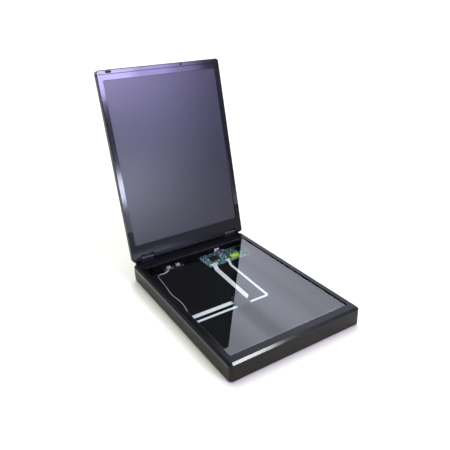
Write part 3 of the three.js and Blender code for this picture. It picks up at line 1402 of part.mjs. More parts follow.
// Top strip of the lid, with pockets for two bumpers and a screw cover
const BUMPER_X = 100;
const BUMPER_HALF_LENGTH = 5;
const BUMPER_RADIUS = 1.9;
const BUMPER_PROUD = 0.6;
const BUMPER_DEPTH = 1.4;
const COVER_X = 40;
const COVER_RADIUS = 1.9;
const stripMiddle = LID_FRONT + LID_STRIP / 2;

function ovalShape(x, halfLength, radius) {
  const shape = new THREE.Shape();
  const reach = halfLength - radius;
  shape.absarc(x + reach, stripMiddle, radius, -Math.PI / 2, Math.PI / 2);
  shape.absarc(x - reach, stripMiddle, radius, Math.PI / 2, 1.5 * Math.PI);
  return shape;
}

const pocketTop = -LID_HALF + BUMPER_DEPTH + SEAM;
let strip = blank.intersect(layer(LID_FRONT - CUT, stripY - SEAM / 2, -LID_THICKNESS, BEZEL_EDGE));
for (const side of [-1, 1]) {
  const pocket = ovalShape(side * BUMPER_X, BUMPER_HALF_LENGTH + SEAM, BUMPER_RADIUS + SEAM);
  strip = cut(strip, plate(pocket, -LID_THICKNESS, pocketTop, 4));
}
strip = cut(strip, post(COVER_X, stripMiddle, -LID_THICKNESS, pocketTop, COVER_RADIUS + SEAM));
place('lid_top_strip', strip, glossPlastic, lid);
for (const [name, side] of [['lid_bumper_left', -1], ['lid_bumper_right', 1]]) {
  const oval = ovalShape(side * BUMPER_X, BUMPER_HALF_LENGTH, BUMPER_RADIUS);
  place(name, plate(oval, -LID_HALF - BUMPER_PROUD, pocketTop - SEAM, 4), rubberBlack, lid);
}
place(
  'lid_screw_cover',
  post(COVER_X, stripMiddle, -LID_HALF + SEAM / 3, pocketTop - SEAM, COVER_RADIUS),
  rubberBlack,
  lid,
);

const panelX = OPENING_X + PANEL_LAP - SEAM;
place(
  'lid_panel',
  block(
    -panelX, panelX,
    OPENING_FRONT - PANEL_LAP + SEAM, OPENING_BACK + PANEL_LAP - SEAM,
    PANEL_FACE, PANEL_FACE + PANEL_THICKNESS,
  ),
  panelPlastic,
  lid,
);

// Steel arms that carry the lid on the hinge pins
function hingeArm(x) {
  const knuckleHalf = KNUCKLE_WIDTH / 2;
  let arm = join(
    barX(x - knuckleHalf, x + knuckleHalf, 0, 0, KNUCKLE_RADIUS),
    block(x - ARM_HALF, x + ARM_HALF, -ARM_LENGTH, 0, -ARM_THICKNESS / 2, ARM_THICKNESS / 2),
  );
  for (const share of armHoleShares) {
    arm = cut(arm, post(x, -ARM_LENGTH * share, -LID_HALF, LID_HALF, ARM_HOLE_RADIUS, 8));
  }
  return cut(arm, barX(x - knuckleHalf - CUT, x + knuckleHalf + CUT, 0, 0, PIN_RADIUS + RUNNING));
}

place('hinge_arm_left', hingeArm(-HINGE_X), darkSteel, lid);
place('hinge_arm_right', hingeArm(HINGE_X), darkSteel, lid);

export default scanner;
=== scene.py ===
"""Looks of a thin flatbed scanner that stands with its lid open.

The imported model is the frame, in metres, with X to the right, Y from the front edge to the hinge and Z up. The pieces
take their places from the boxes of the frame's nodes. The cables' routes are given in millimetres of the same frame.
"""

import json
import logging
import math
from dataclasses import dataclass
from enum import Enum
from typing import Callable, Iterable, Optional, Sequence, Union

import bmesh
import bpy
from mathutils import Matrix, Vector

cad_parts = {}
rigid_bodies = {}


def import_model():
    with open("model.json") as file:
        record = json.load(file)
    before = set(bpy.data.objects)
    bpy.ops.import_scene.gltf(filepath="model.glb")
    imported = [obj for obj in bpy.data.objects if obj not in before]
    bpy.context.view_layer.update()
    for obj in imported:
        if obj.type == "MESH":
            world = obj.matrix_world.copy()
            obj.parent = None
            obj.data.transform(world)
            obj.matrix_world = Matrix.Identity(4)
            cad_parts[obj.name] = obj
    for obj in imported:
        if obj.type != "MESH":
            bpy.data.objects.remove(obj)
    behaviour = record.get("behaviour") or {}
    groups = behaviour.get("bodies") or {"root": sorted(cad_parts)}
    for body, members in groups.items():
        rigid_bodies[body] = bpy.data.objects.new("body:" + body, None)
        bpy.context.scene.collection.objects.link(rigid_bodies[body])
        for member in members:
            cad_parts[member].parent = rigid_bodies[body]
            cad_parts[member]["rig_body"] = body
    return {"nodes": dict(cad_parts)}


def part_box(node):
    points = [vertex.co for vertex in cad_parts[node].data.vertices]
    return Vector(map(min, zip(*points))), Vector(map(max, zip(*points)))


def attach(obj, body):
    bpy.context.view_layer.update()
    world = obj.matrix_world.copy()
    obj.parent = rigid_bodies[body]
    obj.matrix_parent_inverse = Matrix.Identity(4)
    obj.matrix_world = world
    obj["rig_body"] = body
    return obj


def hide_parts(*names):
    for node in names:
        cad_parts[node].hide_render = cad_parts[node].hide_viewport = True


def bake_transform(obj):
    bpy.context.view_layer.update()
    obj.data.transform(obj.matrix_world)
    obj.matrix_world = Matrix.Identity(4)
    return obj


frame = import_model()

logging.basicConfig(level=logging.INFO, format="%(message)s")
log = logging.getLogger("scanner")

MM = 0.001
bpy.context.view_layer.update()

Colour = tuple[float, float, float]
Span = tuple[float, float]
Triple = tuple[float, float, float]
Row = tuple[Vector, Vector]
Operand = Union["Value", float]

SMOOTH_ANGLE = 32.0
EASED_ANGLE = 40.0
WIRE_ANGLE = 60.0
WELD = 0.002 * MM
FOLD_BULGE = 0.4
STEEP = 0.9
MIX_COLOURS = (6, 7)


# ---------------------------------------------------------------- node trees


@dataclass(frozen=True)
class Value:
    """A node's output socket that can be used in sums."""

    graph: "Graph"
    socket: bpy.types.NodeSocket

    def maths(self, operation: str, *operands: Operand) -> "Value":
        """Adds a Math node.

        Args:
            operation: The Math node's operation.
            operands: What goes into its sockets, in order.

        Returns:
            The node's result.
        """
        sockets = dict(enumerate(operands))
        return self.graph.node("ShaderNodeMath", {"operation": operation}, sockets)

    def __add__(self, other: Operand) -> "Value":
        """The sum of two values."""
        return self.maths("ADD", self, other)

    def __radd__(self, other: Operand) -> "Value":
        """The sum of a number and this value."""
        return self.maths("ADD", other, self)

    def __sub__(self, other: Operand) -> "Value":
        """The difference of two values."""
        return self.maths("SUBTRACT", self, other)

    def __rsub__(self, other: Operand) -> "Value":
        """A number less this value."""
        return self.maths("SUBTRACT", other, self)

    def __mul__(self, other: Operand) -> "Value":
        """The product of two values."""
        return self.maths("MULTIPLY", self, other)

    def __rmul__(self, other: Operand) -> "Value":
        """The product of a number and this value."""
        return self.maths("MULTIPLY", other, self)

    def __truediv__(self, other: Operand) -> "Value":
        """One value over another."""
        return self.maths("DIVIDE", self, other)

    def step(self, low: float, high: float) -> "Value":
        """Maps low to 0 and high to 1 along a smooth step.

        Args:
            low: The value that gives 0.
            high: The value that gives 1.

        Returns:
            The mapped value.
        """
        settings = {"interpolation_type": "SMOOTHSTEP"}
        sockets = {"Value": self, "From Min": low, "From Max": high}
        return self.graph.node("ShaderNodeMapRange", settings, sockets)

    def other(self, name: str) -> "Value":
        """Another output of the same node."""
        return Value(self.graph, self.socket.node.outputs[name])


class Graph:
    """A node tree, with one method that adds any node."""

    def __init__(self, tree: bpy.types.NodeTree) -> None:
        """Keeps the tree that nodes are added to."""
        self.tree = tree

    def node(
        self,
        kind: str,
        settings: Optional[dict] = None,
        sockets: Optional[dict] = None,
        out: Union[int, str] = 0,
    ) -> Value:
        """Adds a node.

        Args:
            kind: The node's type.
            settings: Its attributes, set first; "stops" holds a ramp's places and colours.
            sockets: Values or links for its input sockets, by name or number.
            out: The output to return, by name or number.

        Returns:
            The chosen output.
        """
        made = self.tree.nodes.new(kind)
        for name, value in (settings or {}).items():
            if name == "stops":
                self._stops(made.color_ramp, value)
            else:
                setattr(made, name, value)
        for name, value in (sockets or {}).items():
            if isinstance(value, Value):
                self.tree.links.new(value.socket, made.inputs[name])
            else:
                socket = made.inputs[name]
                short_colour = socket.type == "RGBA" and len(value) == 3
                socket.default_value = (*value, 1.0) if short_colour else value
        return Value(self, made.outputs[out]) if len(made.outputs) else Value(self, made.inputs[0])

    @staticmethod
    def _stops(ramp: bpy.types.ColorRamp, stops: Sequence[tuple[float, Colour]]) -> None:
        """Sets a colour ramp's stops.

        Args:
            ramp: The ramp.
            stops: The place and colour of each stop, in order.
        """
        while len(ramp.elements) > 1:
            ramp.elements.remove(ramp.elements[-1])
        for i, (place, colour) in enumerate(stops):
            element = ramp.elements[0] if i == 0 else ramp.elements.new(place)
            element.position = place
            element.color = (*colour, 1.0)

    def mix(self, factor: Operand, first: Union[Value, Colour], second: Union[Value, Colour]) -> Value:
        """Mixes two colours.

        Args:
            factor: 0 for the first colour, 1 for the second.
            first: The colour at 0.
            second: The colour at 1.

        Returns:
            The mixed colour.
        """
        rgba = [c if isinstance(c, Value) else (*c, 1.0) for c in (first, second)]
        sockets = {0: factor, **dict(zip(MIX_COLOURS, rgba))}
        return self.node("ShaderNodeMix", {"data_type": "RGBA"}, sockets, out=2)


class Surface(Graph):
    """A material's node tree."""

    def __init__(self, name: str) -> None:
        """Makes an empty material.

        Args:
            name: The material's name.
        """
        self.material = bpy.data.materials.new(name)
        self.material.use_nodes = True
        super().__init__(self.material.node_tree)
        self.tree.nodes.clear()
        self.place = self.node("ShaderNodeTexCoord", out="Object")

    def noise(self, size: float, detail: float = 2.0, stretch: Optional[Sequence[float]] = None) -> Value:
        """A noise pattern on Object coordinates.

        Args:
            size: The size of its features, in metres.
            detail: How many finer layers it has.
            stretch: How many times longer the features are along each axis.

        Returns:
            The noise, from 0 to 1.
        """
        place = self.place
        if stretch:
            scale = tuple(1.0 / s for s in stretch)
            place = self.node("ShaderNodeMapping", None, {"Vector": place, "Scale": scale})
        return self.node("ShaderNodeTexNoise", None, {"Vector": place, "Scale": 1.0 / size, "Detail": detail})

    def bump(self, height: Value, depth: float, strength: float = 1.0) -> Value:
        """A bump from a height pattern, with its full depth in metres."""
        return self.node("ShaderNodeBump", None, {"Height": height, "Distance": depth, "Strength": strength}, "Normal")

    def finish(self, **sockets: Union[Value, float, tuple]) -> bpy.types.Material:
        """Ends the tree in one shader.

        Args:
            sockets: The shader's inputs, with underscores for spaces.

        Returns:
            The material.
        """
        named = {name.replace("_", " "): value for name, value in sockets.items()}
        shader = self.node("ShaderNodeBsdfPrincipled", None, named)
        return self.output(shader)

    def output(self, shader: Value) -> bpy.types.Material:
        """Ends the tree in the given shader and returns the material."""
        self.node("ShaderNodeOutputMaterial", None, {"Surface": shader})
        return self.material


# ---------------------------------------------------------------- finishes


def toned(colour: Colour, share: float) -> Colour:
    """A colour at a share of its brightness."""
    return tuple(share * c for c in colour)


@dataclass(frozen=True)
class MouldedPlastic:
    """Spark-textured or smooth moulded plastic."""

    name: str
    colour: Colour
    roughness: float
    grain: float = 0.55 * MM
    depth: float = 0.02 * MM
    coat: float = 0.0
    shine: float = 0.25
    cloud: float = 45 * MM
    cloud_share: float = 0.6
    cloud_edges: Span = (0.25, 0.75)
    shades: Span = (0.78, 1.25)
    unevenness: float = 0.12
    rub: float = 16 * MM
    rub_edges: Span = (0.5, 0.75)
    rub_share: float = 0.2
    coat_roughness: float = 0.06

    def make(self) -> bpy.types.Material:
        """Mixes mottled colour, fine grain and rubbed patches.

        Returns:
            The material.
        """
        s = Surface(self.name)
        grain = s.noise(self.grain, 3)
        mottle = s.noise(self.cloud, 3) * self.cloud_share + grain * (1 - self.cloud_share)
        dark, light = (toned(self.colour, share) for share in self.shades)
        colour = s.mix(mottle.step(*self.cloud_edges), dark, light)
        rubbed = s.noise(self.rub, 4).step(*self.rub_edges)
        uneven = self.roughness + grain * self.unevenness - self.unevenness / 2
        return s.finish(
            Base_Color=colour,
            Roughness=uneven - rubbed * (self.rub_share * self.roughness),
            Specular_IOR_Level=self.shine,
            Coat_Weight=self.coat,
            Coat_Roughness=self.coat_roughness,
            Normal=s.bump(grain, self.depth),
        )


@dataclass(frozen=True)
class SatinPanel:
    """Dark satin plastic sheet with a faint grain and wiping marks."""

    name: str
    colour: Colour
    roughness: float
    shine: float = 0.5
    grain: float = 0.35 * MM
    grain_share: float = 0.04
    depth: float = 0.0025 * MM
    wipe: float = 26 * MM
    wipe_share: float = 0.035
    wipe_stretch: Triple = (1.0, 1.0, 3.0)
    shades: Span = (0.9, 1.1)

    def make(self) -> bpy.types.Material:
        """Mixes long wiping marks in the roughness with a fine grain.

        Returns:
            The material.
        """
        s = Surface(self.name)
        fine = s.noise(self.grain, 2)
        wiped = s.noise(self.wipe, 4, self.wipe_stretch)
        dark, light = (toned(self.colour, share) for share in self.shades)
        colour = s.mix(wiped, dark, light)
        roughness = self.roughness + (wiped - 0.5) * self.wipe_share + (fine - 0.5) * self.grain_share
        normal = s.bump(fine, self.depth)
        return s.finish(Base_Color=colour, Roughness=roughness, Specular_IOR_Level=self.shine, Normal=normal)


@dataclass(frozen=True)
class ClearGlass:
    """Float glass; the two faces' reflections are counted on the outer one."""

    name: str
    index: float = 1.75
    tint: Colour = (0.94, 0.965, 0.955)
    smear: float = 60 * MM
    smear_stretch: Triple = (1.0, 2.5, 1.0)
    smear_edges: Span = (0.45, 0.8)
    smear_roughness: float = 0.02
    clean_roughness: float = 0.005

    def make(self) -> bpy.types.Material:
        """Mixes a clear pane with a mirror reflection that grows at low angles.

        Returns:
            The material.
        """
        s = Surface(self.name)
        fresnel = s.node("ShaderNodeFresnel", None, {"IOR": self.index})
        outside = 1.0 - s.node("ShaderNodeNewGeometry", out="Backfacing")
        smear = s.noise(self.smear, 4, self.smear_stretch).step(*self.smear_edges)
        clear = s.node("ShaderNodeBsdfTransparent", None, {"Color": self.tint})
        roughness = smear * self.smear_roughness + self.clean_roughness
        mirror = s.node("ShaderNodeBsdfGlossy", None, {"Color": (1.0, 1.0, 1.0), "Roughness": roughness})
        return s.output(s.node("ShaderNodeMixShader", None, {0: fresnel * outside, 1: clear, 2: mirror}))


@dataclass(frozen=True)
class Metal:
    """Steel, with marks along one direction."""

    name: str
    colour: Colour
    roughness: float
    along: Triple = (1.0, 1.0, 1.0)
    metallic: float = 1.0
    line: float = 0.4 * MM
    depth: float = 0.008 * MM
    spot: float = 7 * MM
    spot_edges: Span = (0.45, 0.8)
    spot_shade: float = 0.8
    unevenness: float = 0.12

    def make(self) -> bpy.types.Material:
        """Mixes brushed lines and dull spots.

        Returns:
            The material.
        """
        s = Surface(self.name)
        lines = s.noise(self.line, 3, self.along)
        dull = s.noise(self.spot, 4).step(*self.spot_edges)
        colour = s.mix(dull, self.colour, toned(self.colour, self.spot_shade))
        roughness = self.roughness + lines * self.unevenness + dull * self.unevenness
        normal = s.bump(lines, self.depth)
        return s.finish(Base_Color=colour, Metallic=self.metallic, Roughness=roughness, Normal=normal)


@dataclass(frozen=True)
class SolderMask:
    """Green or brown circuit board with tracks and tinned pads; the pattern's scales are in features per metre."""

    name: str
    colour: Colour
    track: Colour
    pad: Colour = (0.62, 0.64, 0.6)
    track_scale: float = 260.0
    track_width: float = 0.12
    track_offset: float = 0.37
    pad_scale: float = 420.0
    pad_scatter: float = 0.75
    pad_edge: Span = (0.1, 0.16)
    pad_metal: float = 0.8
    pad_polish: float = 0.1
    cloud: float = 14 * MM
    cloud_edges: Span = (0.42, 0.6)
    roughness: float = 0.38
    coat: float = 0.25
    depth: float = 0.03 * MM

    def make(self) -> bpy.types.Material:
        """Mixes a maze of tracks under the mask with tinned pads over it.

        Returns:
            The material.
        """
        s = Surface(self.name)
        flat = s.node("ShaderNodeMapping", None, {"Vector": s.place, "Scale": (1.0, 1.0, 0.0)})
        black, white = (0.0,) * 3, (1.0,) * 3
        bricks = {"Vector": flat, "Scale": self.track_scale, "Mortar Size": self.track_width}
        colours = {"Color1": black, "Color2": black, "Mortar": white}
        maze = s.node("ShaderNodeTexBrick", {"offset": self.track_offset}, {**bricks, **colours}, out="Fac")
        cells = {"Vector": flat, "Scale": self.pad_scale, "Randomness": self.pad_scatter}
        pads = 1.0 - s.node("ShaderNodeTexVoronoi", None, cells).step(*self.pad_edge)
        cloud = s.noise(self.cloud, 3).step(*self.cloud_edges)
        tracks = s.mix(maze * cloud, self.colour, self.track)
        colour = s.mix(pads, tracks, self.pad)
        height = maze * 0.5 + pads
        return s.finish(
            Base_Color=colour,
            Metallic=pads * self.pad_metal,
            Roughness=self.roughness - pads * self.pad_polish,
            Coat_Weight=self.coat,
            Normal=s.bump(height, self.depth),
        )


@dataclass(frozen=True)
class CableFilm:
    """Film over tinned conductors; the stripes follow the cable's own map."""

    name: str
    conductors: int
    colour: Colour = (0.9, 0.9, 0.87)
    line: Colour = (0.54, 0.56, 0.55)
    line_share: float = 0.55
    line_edges: Span = (-0.2, 0.4)
    margin: Span = (0.03, 0.06)
    cloud: float = 12 * MM
    roughness: float = 0.32
    unevenness: float = 0.12
    coat: float = 0.2
    depth: float = 0.04 * MM

    def make(self) -> bpy.types.Material:
        """Mixes one stripe for each conductor between two plain margins.

        Returns:
            The material.
        """
        s = Surface(self.name)
        uv = s.node("ShaderNodeUVMap", {"uv_map": "run"})
        across = s.node("ShaderNodeSeparateXYZ", None, {0: uv}, out="X")
        turn = across * (math.tau * self.conductors) - math.pi / 2
        stripes = turn.maths("SINE", turn).step(*self.line_edges)
        bare, full = self.margin
        inside = across.step(bare, full) * (1.0 - across.step(1.0 - full, 1.0 - bare))
        colour = s.mix(stripes * inside * self.line_share, self.colour, self.line)
        soft = s.noise(self.cloud, 3)
        return s.finish(
            Base_Color=colour,
            Roughness=self.roughness + soft * self.unevenness,
            Coat_Weight=self.coat,
            Normal=s.bump(stripes, self.depth),
        )


@dataclass(frozen=True)
class Coating:
    """A plain finish with specks: ferrite, rubber, tape, ceramic and lacquered wire."""

    name: str
    colour: Colour
    roughness: float
    speck: float = 0.5 * MM
    contrast: float = 0.3
    depth: float = 0.03 * MM
    lines: Optional[Triple] = None
    metallic: float = 0.0
    coat: float = 0.0
    speck_share: float = 0.6
    patch: float = 12.0
    unevenness: float = 0.15

    def make(self) -> bpy.types.Material:
        """Mixes specks or fine lines in colour and height with broader patches in the roughness.

        Returns:
            The material.
        """
        s = Surface(self.name)
        specks = s.noise(self.speck, 4, self.lines)
        broad = s.noise(self.patch * self.speck, 3)
        light, dark = toned(self.colour, 1.0 + self.contrast), toned(self.colour, 1.0 - self.contrast)
        colour = s.mix(specks * self.speck_share + broad * (1 - self.speck_share), dark, light)
        return s.finish(
            Base_Color=colour,
            Metallic=self.metallic,
            Roughness=self.roughness + (broad - 0.5) * self.unevenness,
            Coat_Weight=self.coat,
            Normal=s.bump(specks, self.depth),
        )


class Finish(Enum):
    """The finishes of the scanner, by the part's material slots."""

    HOUSING = MouldedPlastic("dressed_housing_plastic", (0.012, 0.0102, 0.0066), 0.42, shine=0.14)
    # Painted shade: a deeper black for the lower housing's inside faces than for its outside.
    INSIDE = MouldedPlastic("dressed_housing_inside_painted_shade", (0.002, 0.0023, 0.0027), 0.5, shine=0.04)
    RIM = MouldedPlastic("dressed_rim_plastic", (0.006, 0.0061, 0.0068), 0.2, 0.5 * MM, 0.005 * MM, shine=0.17)
    # Partly painted highlight: the front chamfer's finish is glossier than the rim's and lighter in colour.
    RIM_EDGE_GLOSS_AND_PAINTED_HIGHLIGHT = MouldedPlastic("dressed_rim_edge_gloss_and_painted_highlight", (0.014, 0.014, 0.015), 0.14, 0.5 * MM, 0.002 * MM, shine=0.5)
    LID = MouldedPlastic("dressed_lid_plastic", (0.009, 0.0085, 0.0095), 0.4, shine=0.15)
    GLOSS = MouldedPlastic("dressed_lid_gloss", (0.006, 0.0055, 0.0085), 0.1, 0.8 * MM, 0.003 * MM, 0.0, 0.5)
    COVER = MouldedPlastic("dressed_hinge_cover", (0.005, 0.0052, 0.006), 0.17, 1.1 * MM, 0.009 * MM, shine=0.13)
    PANEL = SatinPanel("dressed_lid_panel", (0.008, 0.0076, 0.0115), 0.25, 0.4)
    GLASS = ClearGlass("dressed_clear_glass")
    SENSOR_GLASS = ClearGlass("dressed_sensor_glass", 1.25)
    STRIP = Coating("dressed_white_strip", (0.88, 0.88, 0.85), 0.55, 0.3 * MM, 0.03, 0.005 * MM)
    BRIGHT_STEEL = Metal("dressed_bright_steel", (0.66, 0.67, 0.69), 0.2, (1.0, 14.0, 1.0))
    DARK_STEEL = Metal("dressed_dark_steel", (0.03, 0.03, 0.034), 0.45, (6.0, 1.0, 1.0), 0.7)
    GEAR = MouldedPlastic("dressed_gear_plastic", (0.8, 0.77, 0.68), 0.38, 0.7 * MM, 0.01 * MM)
    CARRIAGE = MouldedPlastic("dressed_carriage_plastic", (0.03, 0.031, 0.034), 0.42, 0.4 * MM, 0.012 * MM)
    BOARD = SolderMask("dressed_circuit_board", (0.004, 0.125, 0.085), (0.012, 0.24, 0.17))
    DRIVER_BOARD = SolderMask("dressed_driver_board", (0.02, 0.017, 0.012), (0.045, 0.035, 0.022))
    DARK = MouldedPlastic("dressed_dark_moulding", (0.014, 0.0145, 0.0155), 0.45, 0.3 * MM, 0.01 * MM)
    SOCKET = MouldedPlastic("dressed_socket_plastic", (0.82, 0.8, 0.72), 0.4, 0.4 * MM, 0.008 * MM)
    TAPE = Coating("dressed_coil_tape", (0.72, 0.82, 0.06), 0.28, 0.8 * MM, 0.12, 0.02 * MM, (6.0, 1.0, 1.0), 0.0, 0.4)
    WINDING = Coating("dressed_coil_winding", (0.5, 0.13, 0.05), 0.3, 0.25 * MM, 0.3, 0.03 * MM, None, 0.6, 0.5)
    WIDE_FILM = CableFilm("dressed_cable_film_wide", 12)
    NARROW_FILM = CableFilm("dressed_cable_film_narrow", 6)
    DARK_FILM = CableFilm("dressed_cable_film_dark", 12, (0.016, 0.016, 0.018), (0.03, 0.03, 0.033))
    SHEATH = Coating("dressed_lead_sheath", (0.62, 0.63, 0.62), 0.4, 0.6 * MM, 0.12, 0.02 * MM)
    FERRITE = Coating("dressed_ferrite", (0.012, 0.012, 0.013), 0.55, 0.35 * MM, 0.35, 0.05 * MM)
    RUBBER = Coating("dressed_rubber", (0.01, 0.01, 0.01), 0.8, 0.5 * MM, 0.3, 0.05 * MM)
    TINNED = Coating("dressed_tinned_contact", (0.62, 0.74, 0.71), 0.25, 0.3 * MM, 0.1, 0.01 * MM, None, 1.0)
    CERAMIC = Coating("dressed_ceramic_chip", (0.36, 0.48, 0.43), 0.4, 0.3 * MM, 0.2, 0.01 * MM)
    RESISTOR = Coating("dressed_resistor_chip", (0.02, 0.02, 0.022), 0.35, 0.3 * MM, 0.2, 0.01 * MM)
    TAPE_BLACK = Coating("dressed_black_tape", (0.012, 0.012, 0.014), 0.36, 0.6 * MM, 0.25, 0.03 * MM)
    SLEEVE = Coating("dressed_white_sleeve", (0.86, 0.87, 0.86), 0.35, 0.5 * MM, 0.08, 0.02 * MM)
    SEALED = Coating("dressed_sealed_can", (0.6, 0.62, 0.64), 0.3, 0.25 * MM, 0.12, 0.02 * MM, (1.0, 6.0, 1.0), 0.85)

    @property
    def material(self) -> bpy.types.Material:
        """The finish's material, made once."""
        return bpy.data.materials.get(self.value.name) or self.value.make()


# ---------------------------------------------------------------- pieces


def put(name: str, data: bpy.types.ID) -> bpy.types.Object:
    """Puts a new object in the scene.

    Args:
        name: The object's name.
        data: Its mesh, lamp or lens.

    Returns:
        The object.
    """
    made = bpy.data.objects.new(name, data)
    bpy.context.scene.collection.objects.link(made)
    return made


def add_piece(
    name: str,
    mesh: bpy.types.Mesh,
    body: Optional[str],
    finishes: Sequence[Finish],
    replaces: Sequence[str] = (),
) -> bpy.types.Object:
    """Puts a mesh in the scene as a piece of the scanner.

    Args:
        name: The piece's name.
        mesh: Its mesh, in place.
        body: The body that it rides on, or None to leave it on no body.
        finishes: Its finishes, in the order of the mesh's material numbers, or none to keep the mesh's own.
        replaces: CAD nodes that it stands for.

    Returns:
        The piece's object.
    """
    if finishes and len(mesh.materials):
        mesh.materials.clear()
    for finish in finishes:
        mesh.materials.append(finish.material)
    piece = put(name, mesh)
    if body:
        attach(piece, body)
    if replaces:
        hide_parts(*replaces)
    log.info("made %s: %d faces", name, len(mesh.polygons))
    return piece


def clean_copy(node: str, angle: float = SMOOTH_ANGLE) -> bpy.types.Mesh:
    """A CAD node's mesh with shared corners and smooth curves.

    Args:
        node: The CAD node.
        angle: Edges sharper than this many degrees stay sharp.

    Returns:
        The new mesh.
    """
    mesh = frame["nodes"][node].data.copy()
    mesh.name = node + "_dressed"
    for attribute in ("custom_normal", "sharp_face", "sharp_edge"):
        if attribute in mesh.attributes:
            mesh.attributes.remove(mesh.attributes[attribute])
    shape = bmesh.new()
    shape.from_mesh(mesh)
    bmesh.ops.remove_doubles(shape, verts=shape.verts, dist=WELD)
    shape.to_mesh(mesh)
    shape.free()
    mesh.shade_smooth()
    mesh.set_sharp_from_angle(angle=math.radians(angle))
    return mesh


def dressed(
    node: str, finish: Finish, edge: float = 0.0, segments: int = 2, angle: float = SMOOTH_ANGLE
) -> bpy.types.Object:
    """Replaces a CAD node by a smooth copy of it with eased edges.

    Args:
        node: The CAD node.
        finish: The finish.
        edge: The radius of the eased edges, or 0 for none.
        segments: How many faces each eased edge has.
        angle: Edges sharper than this many degrees stay sharp.

    Returns:
        The piece's object.
    """
    body = frame["nodes"][node]["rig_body"]
    piece = add_piece(node + "_piece", clean_copy(node, angle), body, [finish], [node])
    if edge:
        ease = piece.modifiers.new("eased_edges", "BEVEL")
        ease.width = edge
        ease.segments = segments
        ease.limit_method = "ANGLE"
        ease.angle_limit = math.radians(EASED_ANGLE)
        ease.harden_normals = True
        ease.use_clamp_overlap = False
    return piece


def keep_sharp(piece: bpy.types.Object, is_kept: Callable[[Vector], bool]) -> None:
    """Leaves some of a piece's edges sharp and eases the rest.

    Args:
        piece: The piece, with its eased edges.
        is_kept: Tells from an edge's middle whether it stays sharp.
    """
    flattest = math.radians(EASED_ANGLE)
    shape = bmesh.new()
    shape.from_mesh(piece.data)
    weight = shape.edges.layers.float.new("bevel_weight_edge")
    for edge in shape.edges:
        middle = (edge.verts[0].co + edge.verts[1].co) / 2
        edge[weight] = 0.0 if is_kept(middle) or edge.calc_face_angle(0.0) < flattest else 1.0
    shape.to_mesh(piece.data)
    shape.free()
    piece.modifiers["eased_edges"].limit_method = "WEIGHT"


def paint(node: str, finish: Finish) -> None:
    """Gives a CAD node its finish.

    Args:
        node: The CAD node.
        finish: The finish.
    """
    mesh = frame["nodes"][node].data
    mesh.materials.clear()
    mesh.materials.append(finish.material)
    log.info("painted %s", node)


